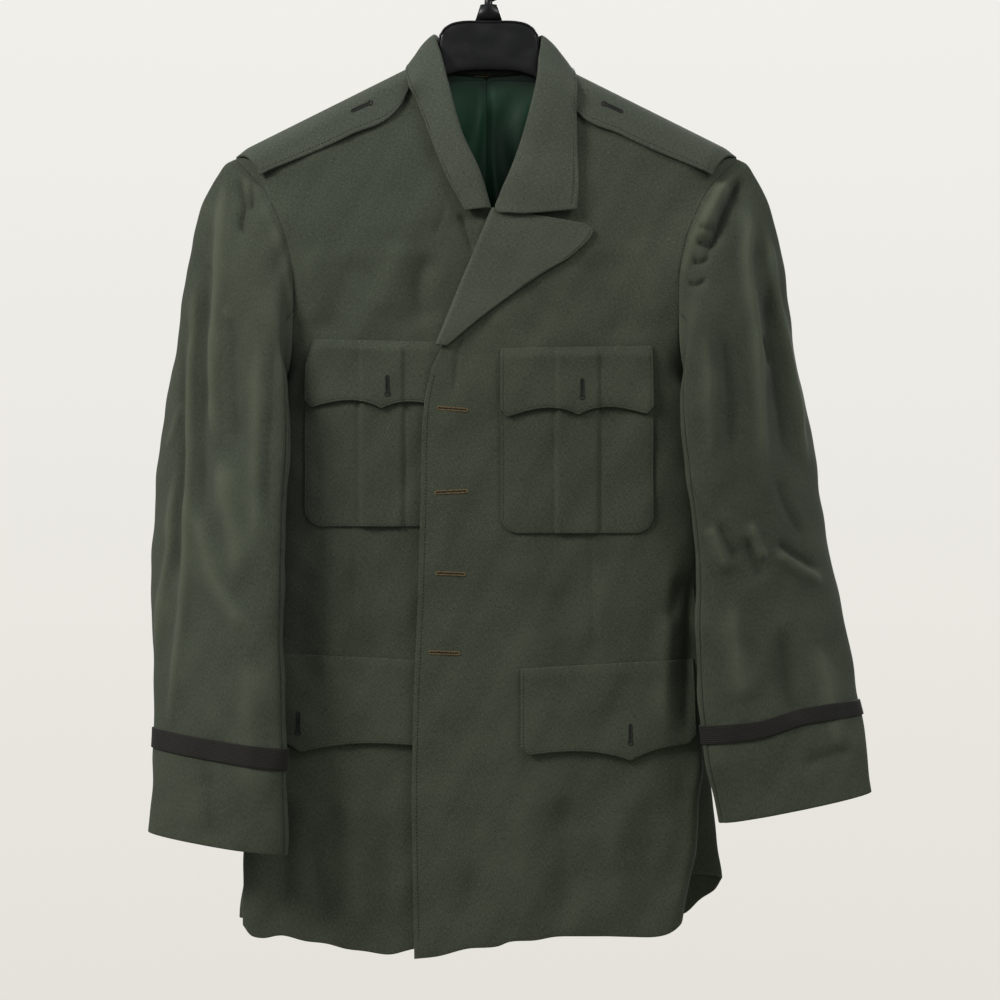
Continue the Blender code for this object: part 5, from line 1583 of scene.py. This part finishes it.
def make_braids():
    """The braid round each cuff, which follows the folds of the sleeve under it."""
    for side in ("right", "left"):
        spec = BRAIDS[side]
        u = np.linspace(-180, 180, 140, endpoint=False)[:, None]
        cosine = np.cos(np.radians(u))
        rise = spec["rise"] * (cosine + 1) / 2 + spec["step"] * smooth((cosine + 0.45) / 0.8)
        down = spec["width"] * (stations(10, spec["width"], BRAID / 2)[None, :] - 0.5) - rise
        v = spec["middle"] + down / SLEEVE_LENGTH
        points = sleeve(side, u, v)
        normals = outward(grid_normals(points, True), points - points.mean(axis=0, keepdims=True))
        relief = sleeve_relief(side, points, u + 0 * v, v)
        points = points + normals * (PANEL / 2 + BRAID / 2 + 0.15 + relief)[..., None]
        away = points - points.mean(axis=0, keepdims=True)
        name = f"cuff_braid_{side}_band"
        piece = flat_piece(name, points, BRAID, "braid", away, closed=True)
        settle(piece, f"cuff_braid_{side}")


def make_collar():
    """The collar in one piece, and the left lapel turned out below it."""
    s, t = stations(180, 470, COLLAR / 2)[:, None], stations(36, 60, COLLAR / 2)[None, :]
    points = collar_surface(s, t)
    relief = 0.5 * ripple_field(points[..., 0] * 1.5, points[..., 2]) * smooth((t - 0.5) / 0.3)
    outside = (points - np.array([0, -8.0, 0])) * (t > 0.5)[..., None] * np.array([1.0, 1, 0])
    # The collar, and the lapel below, take the serge painted lighter as if lit from above: painted light
    piece = sheet_piece("collar_cloth", points, relief, COLLAR, [look("light")], outside)
    settle(piece, "collar")
    a, b = stations(84, 150, COLLAR / 2)[:, None], stations(48, 90, COLLAR / 2)[None, :]
    points = lapel_surface(a, b)
    relief = 0.5 * ripple_field(points[..., 0], points[..., 2]) * smooth((b - 0.3) / 0.3) + 0 * a
    outside = FORWARD * (b > 0.4)[..., None]
    piece = sheet_piece("left_lapel_cloth", points, relief, COLLAR, [look("light")], outside)
    settle(piece, "left_lapel")


def laid_on_front(name, distance, z, over, level):
    """Points over a front panel, moved out by its folds too."""
    points, normals = front_sheet(name, distance, z, over, level)
    return points + normals * body_relief(points[..., 0], points[..., 2], False)[..., None]


def make_breast_pockets():
    """The patch pockets, with rounded lower corners and a box pleat."""
    spec = BREAST_POCKET
    middle, half = middle_and_half(spec)
    for side, name in SIDES:
        shift = RIGHT_BREAST_SHIFT if side == "right" else UNMOVED
        offset = half * (2 * stations(70, 2 * half, POCKET / 2) - 1)
        corner = np.maximum(np.abs(offset) - (half - spec["corner"]), 0)
        rise = spec["corner"] - np.sqrt(np.maximum(spec["corner"] ** 2 - corner**2, 0))
        top, bottom = spec["top"] + shift["up"], spec["bottom"] + shift["up"]
        share = stations(64, top - bottom, POCKET / 2)[None, :]
        z = top + (bottom + rise[:, None] - top) * share
        from_rim = np.minimum(half - np.abs(offset)[:, None], (1 - share) * (top - bottom))
        over = pocket_height(offset[:, None], from_rim)
        points = laid_on_front(name, middle + shift["across"] + offset, z, over, spec["level"])
        piece = flat_piece(f"breast_pocket_{side}_cloth", points, POCKET, "serge", FORWARD)
        settle(piece, f"breast_pocket_{side}")


def make_flaps():
    """The scalloped flaps of all four pockets."""
    for kind, spec, shift in FLAPS:
        middle, half = middle_and_half(spec)
        steps = 2 * stations(88, 2 * half, POCKET / 2) - 1
        offset = steps * half
        for side, name in SIDES:
            moved = shift if side == "right" else UNMOVED
            top, length = flap_outline(kind, spec, moved, steps)
            rows = stations(36, spec["side"], POCKET / 2)[None, :]
            z = top[:, None] - length[:, None] * rows
            from_rim = np.minimum(half - np.abs(offset)[:, None], (1 - rows) * length[:, None])
            over = flap_height(spec, rows, offset[:, None], from_rim)
            points = laid_on_front(name, middle + moved["across"] + offset, z, over, spec["level"])
            piece = flat_piece(f"{kind}_{side}_cloth", points, POCKET, "serge", FORWARD)
            settle(piece, f"{kind}_{side}")


def make_straps():
    """The shoulder straps, which lie on the cloth over the shoulder line."""
    for side, sign in (("right", -1), ("left", 1)):
        a, w = stations(64, 165, STRAP / 2)[:, None], 2 * stations(40, 60, STRAP / 2)[None, :] - 1
        points = strap_surface(sign, a, w)
        normals = outward(grid_normals(points, False), UPWARD)
        points = points + normals * strap_lift(a + 0 * w)[..., None]
        # The straps take the serge painted lighter as if lit from above: painted light
        piece = flat_piece(f"shoulder_strap_{side}_cloth", points, STRAP, "light", UPWARD)
        settle(piece, f"shoulder_strap_{side}")


def make_lining():
    """The satin behind the neck, with soft folds, and the bare tab on it."""
    inward = PANEL / 2 + LINING / 2 + LAID_GAP
    for side, sign in (("right", -1), ("left", 1)):
        x = LINING_HALF_WIDTH * stations(52, LINING_HALF_WIDTH, LINING / 2)[:, None]
        top = LINING_TOP + LINING_TOP_RISE * (x / LINING_HALF_WIDTH) ** 2
        z = top + (LINING_BOTTOM - top) * stations(64, 130, LINING / 2)[None, :]
        points = back_inside(sign, inward)(x, z)
        normals = outward(grid_normals(points, False), FORWARD)
        folds = 1.6 + 1.6 * np.sin(x / 5.5 + 2.2 * np.sin(z / 30 + sign)) * smooth((LINING_TOP - z) / 40)
        folds = folds * smooth(x / 9)
        points = points + normals * folds[..., None]
        points[0, :, 0] = 0
        piece = flat_piece(f"back_lining_{side}_satin", points, LINING, "satin", FORWARD)
        settle(piece, f"back_lining_{side}")
    x = TAB_HALF_WIDTH * (2 * stations(20, 24, LABEL / 2)[:, None] - 1)
    z = TAB_TOP + (TAB_BOTTOM - TAB_TOP) * stations(12, 9, LABEL / 2)[None, :]
    x, z = np.broadcast_arrays(x, z)
    points = np.stack([x, TAB_Y + 0.25 * np.sin(x / 5), z], axis=-1)
    piece = flat_piece("neck_tab", points, LABEL, "tab", FORWARD)
    settle(piece, "neck_label")


def tube_quads(rows, count):
    index = np.arange(rows * count).reshape(rows, count)
    after = np.roll(index, -1, axis=1)
    return np.stack([index[:-1], after[:-1], after[1:], index[1:]], axis=-1).reshape(-1, 4)


def loft(name, sections, material):
    """A closed body through rings of points; each end ring shrinks to a small flat cap."""
    caps = []
    for ring in (sections[0], sections[-1]):
        middle = ring.mean(axis=0)
        caps.append([middle + (ring - middle) * size for size in (0.02, 0.5, 0.92)])
    sections = np.concatenate([np.array(caps[0]), sections, np.array(caps[1][::-1])])
    rows, count = sections.shape[:2]
    points = sections.reshape(-1, 3)
    quads = tube_quads(rows, count)
    if signed_volume(points, quads) < 0:
        quads = quads[:, ::-1]
    return mesh_piece(name, points, quads, [material])


def moulded(name, sections, node=None):
    """A piece of the hanger, which rides on the part and may stand for a node of it."""
    made = loft(name, sections, look("plastic"))
    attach(made, "root")
    if node:
        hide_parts(node)


def add_rim():
    """The thin raised rim along the top edge of the hanger's hump, in front and behind."""
    rows = np.array(HUMP_ROWS, float)
    at = np.linspace(0, rows[-2, 0], 30)
    heights = table(at, HUMP_ROWS)
    for side in (-1, 1):
        x = np.concatenate([-at[::-1], at[1:]])
        z = np.concatenate([heights[::-1, 0], heights[1:, 0]]) - RIM_BELOW_TOP
        y = side * (np.concatenate([heights[::-1, 2], heights[1:, 2]]) - RIM_SUNK)
        path = np.stack([x, y, z], axis=-1)
        way = unit(np.gradient(path, axis=0))
        up = unit(np.cross(np.cross(way, FORWARD), way))
        other = np.cross(way, up)
        angles = np.linspace(0, 2 * np.pi, 10, endpoint=False)[None, :, None]
        rings = path[:, None] + RIM_RADIUS * (np.cos(angles) * up[:, None] + np.sin(angles) * other[:, None])
        moulded("hanger_rim_" + ("front" if side < 0 else "behind"), rings + (HANGER_MIDDLE, 0, 0))


def make_hanger():
    """The moulded hanger: hump, arms inside the shoulders, rim and hook."""
    rows = np.array(HUMP_ROWS, float)
    halves = []
    for sign in (-1, 1):
        fine = np.linspace(0, rows[-1, 0], 26)
        half = [hanger_section(at, *table(at, HUMP_ROWS), count=48) for at in fine]
        for distance in np.linspace(ARM_START, ARM_END, 30):
            x = distance + sign * HANGER_MIDDLE
            top = ridge_z(x) - ARM_CLEARANCE
            thick = roll_radius(x) - ARM_CLEARANCE - 0.4
            bottom = top - 2 * thick * ARM_HEIGHT_SHARE
            half.append(hanger_section(distance, top, bottom, thick, 1.0, count=48))
        last = half[-1]
        middle = last.mean(axis=0)
        half += [middle + (last - middle) * size + (out, 0, -0.5 * out) for out, size in ARM_TIP]
        halves.append(half)
    right = [section * (-1, 1, 1) for section in reversed(halves[0][1:])]
    moulded("hanger_body_moulding", np.array(right + halves[1]) + (HANGER_MIDDLE, 0, 0), "hanger_body")
    add_rim()
    path = hook_path(60)
    tangent = unit(np.gradient(path, axis=0))
    across = np.stack([tangent[:, 1], -tangent[:, 0]], axis=1)
    width = np.full(len(path), HOOK_THICKNESS / 2)
    width[0], width[1] = HOOK_FOOT_HALF, HOOK_NECK_HALF
    angles = np.linspace(0, 2 * np.pi, 32, endpoint=False)
    rings = []
    for point, side, half_width in zip(path, across, width):
        reach = half_width * np.cos(angles)
        y = HOOK_THICKNESS / 2 * np.sin(angles)
        x, z = point[0] + side[0] * reach, point[1] + side[1] * reach
        rings.append(np.stack([HANGER_MIDDLE + x, y, z], axis=-1))
    moulded("hanger_hook_moulding", np.array(rings), "hanger_hook")


def area_light(name, place, aim, size, power, colour):
    data = bpy.data.lights.new(name, "AREA")
    data.size = size
    data.energy = power
    data.color = colour
    lamp = bpy.data.objects.new(name, data)
    bpy.context.scene.collection.objects.link(lamp)
    lamp.location = place
    direction = Vector(aim) - Vector(place)
    lamp.rotation_euler = direction.to_track_quat("-Z", "Y").to_euler()


def make_camera():
    """The photograph's viewpoint: square on to the coat, its frame cropping the hook."""
    data = bpy.data.cameras.new("view")
    data.sensor_width = SENSOR_WIDTH
    data.lens = SENSOR_WIDTH / 2 / (PICTURE_HALF_WIDTH / (CAMERA_DISTANCE - FRONT_CLOTH_AT))
    data.clip_end = 50
    camera = bpy.data.objects.new("view", data)
    bpy.context.scene.collection.objects.link(camera)
    camera.location = ((CAMERA_X - HANGER_MIDDLE) * MM, -CAMERA_DISTANCE * MM, CAMERA_Z * MM)
    camera.rotation_euler = (np.pi / 2, 0, 0)
    bpy.context.scene.camera = camera


def make_stage():
    """A round pale floor below the coat, a pale room, and soft light mostly from the upper left."""
    turn = np.linspace(0, 2 * np.pi, 96, endpoint=False)
    ring = [(FLOOR_RADIUS * np.cos(angle), FLOOR_RADIUS * np.sin(angle), FLOOR_HEIGHT) for angle in turn]
    floor = bpy.data.meshes.new("floor")
    floor.from_pydata(ring, [], [tuple(range(len(ring)))])
    floor.materials.append(new_look("pale floor", FLOOR_COLOUR, 0.9)[0])
    made = bpy.data.objects.new("floor", floor)
    bpy.context.scene.collection.objects.link(made)
    world = bpy.data.worlds.new("pale room")
    world.use_nodes = True
    tree = world.node_tree
    background = tree.nodes["Background"]
    places = tree.nodes.new("ShaderNodeTexCoord")
    split = tree.nodes.new("ShaderNodeSeparateXYZ")
    tree.links.new(places.outputs["Generated"], split.inputs["Vector"])
    height = spread(tree, split.outputs["Z"], -0.3, 0.3, 0, 1)
    pale, dim = blend(tree, height, *WALL_SEEN), blend(tree, height, *WALL_LIGHT)
    seen = tree.nodes.new("ShaderNodeLightPath")
    tree.links.new(blend(tree, seen.outputs["Is Camera Ray"], dim, pale), background.inputs["Color"])
    bpy.context.scene.world = world
    bpy.context.scene.view_settings.view_transform = "Standard"
    for light in LIGHTS:
        area_light(*light)


class CoatClothSettings(bpy.types.PropertyGroup):
    folds: bpy.props.FloatProperty(
        name="Folds", description="How deep the folds are, 1 as they hang", default=1.0, min=0.0, max=2.0
    )


def operator(identifier, label, text, action):
    """An operator that makes one group of pieces."""

    def execute(self, context):
        action()
        return {"FINISHED"}

    return type(
        "COAT_OT_" + identifier,
        (bpy.types.Operator,),
        dict(__doc__=text, bl_idname="coat." + identifier, bl_label=label, execute=execute),
    )


OPERATORS = [
    operator("stage", "Stage", "Floor, world and lights", make_stage),
    operator("panels", "Panels", "Front and back panels", make_panels),
    operator("sleeves", "Sleeves", "Both two-piece sleeves", make_sleeves),
    operator("braids", "Braids", "The braid round each cuff", make_braids),
    operator("collar", "Collar", "Collar and left lapel", make_collar),
    operator("pockets", "Pockets", "Breast pockets", make_breast_pockets),
    operator("flaps", "Flaps", "All four pocket flaps", make_flaps),
    operator("straps", "Straps", "Shoulder straps", make_straps),
    operator("lining", "Lining", "Lining and tab behind the neck", make_lining),
    operator("hanger", "Hanger", "The moulded hanger", make_hanger),
    operator("stitching", "Stitching", "Rows of stitches along the edges", make_stitching),
    operator("buttonholes", "Buttonholes", "All buttonholes", make_buttonholes),
]


class COAT_PT_sidebar(bpy.types.Panel):
    """Buttons for the coat's pieces"""

    bl_label = "Coat"
    bl_space_type = "VIEW_3D"
    bl_region_type = "UI"
    bl_category = "Coat"

    def draw(self, context):
        self.layout.prop(context.scene.coat_cloth, "folds")
        for made in OPERATORS:
            self.layout.operator(made.bl_idname)


def register():
    bpy.utils.register_class(CoatClothSettings)
    bpy.types.Scene.coat_cloth = bpy.props.PointerProperty(type=CoatClothSettings)
    for made in OPERATORS + [COAT_PT_sidebar]:
        bpy.utils.register_class(made)


def unregister():
    for made in reversed(OPERATORS + [COAT_PT_sidebar]):
        bpy.utils.unregister_class(made)
    del bpy.types.Scene.coat_cloth
    bpy.utils.unregister_class(CoatClothSettings)


def main():
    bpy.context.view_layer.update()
    register()
    make_camera()
    for made in OPERATORS:
        group, action = made.bl_idname.split(".")
        getattr(getattr(bpy.ops, group), action)()


if __name__ == "__main__":
    main()
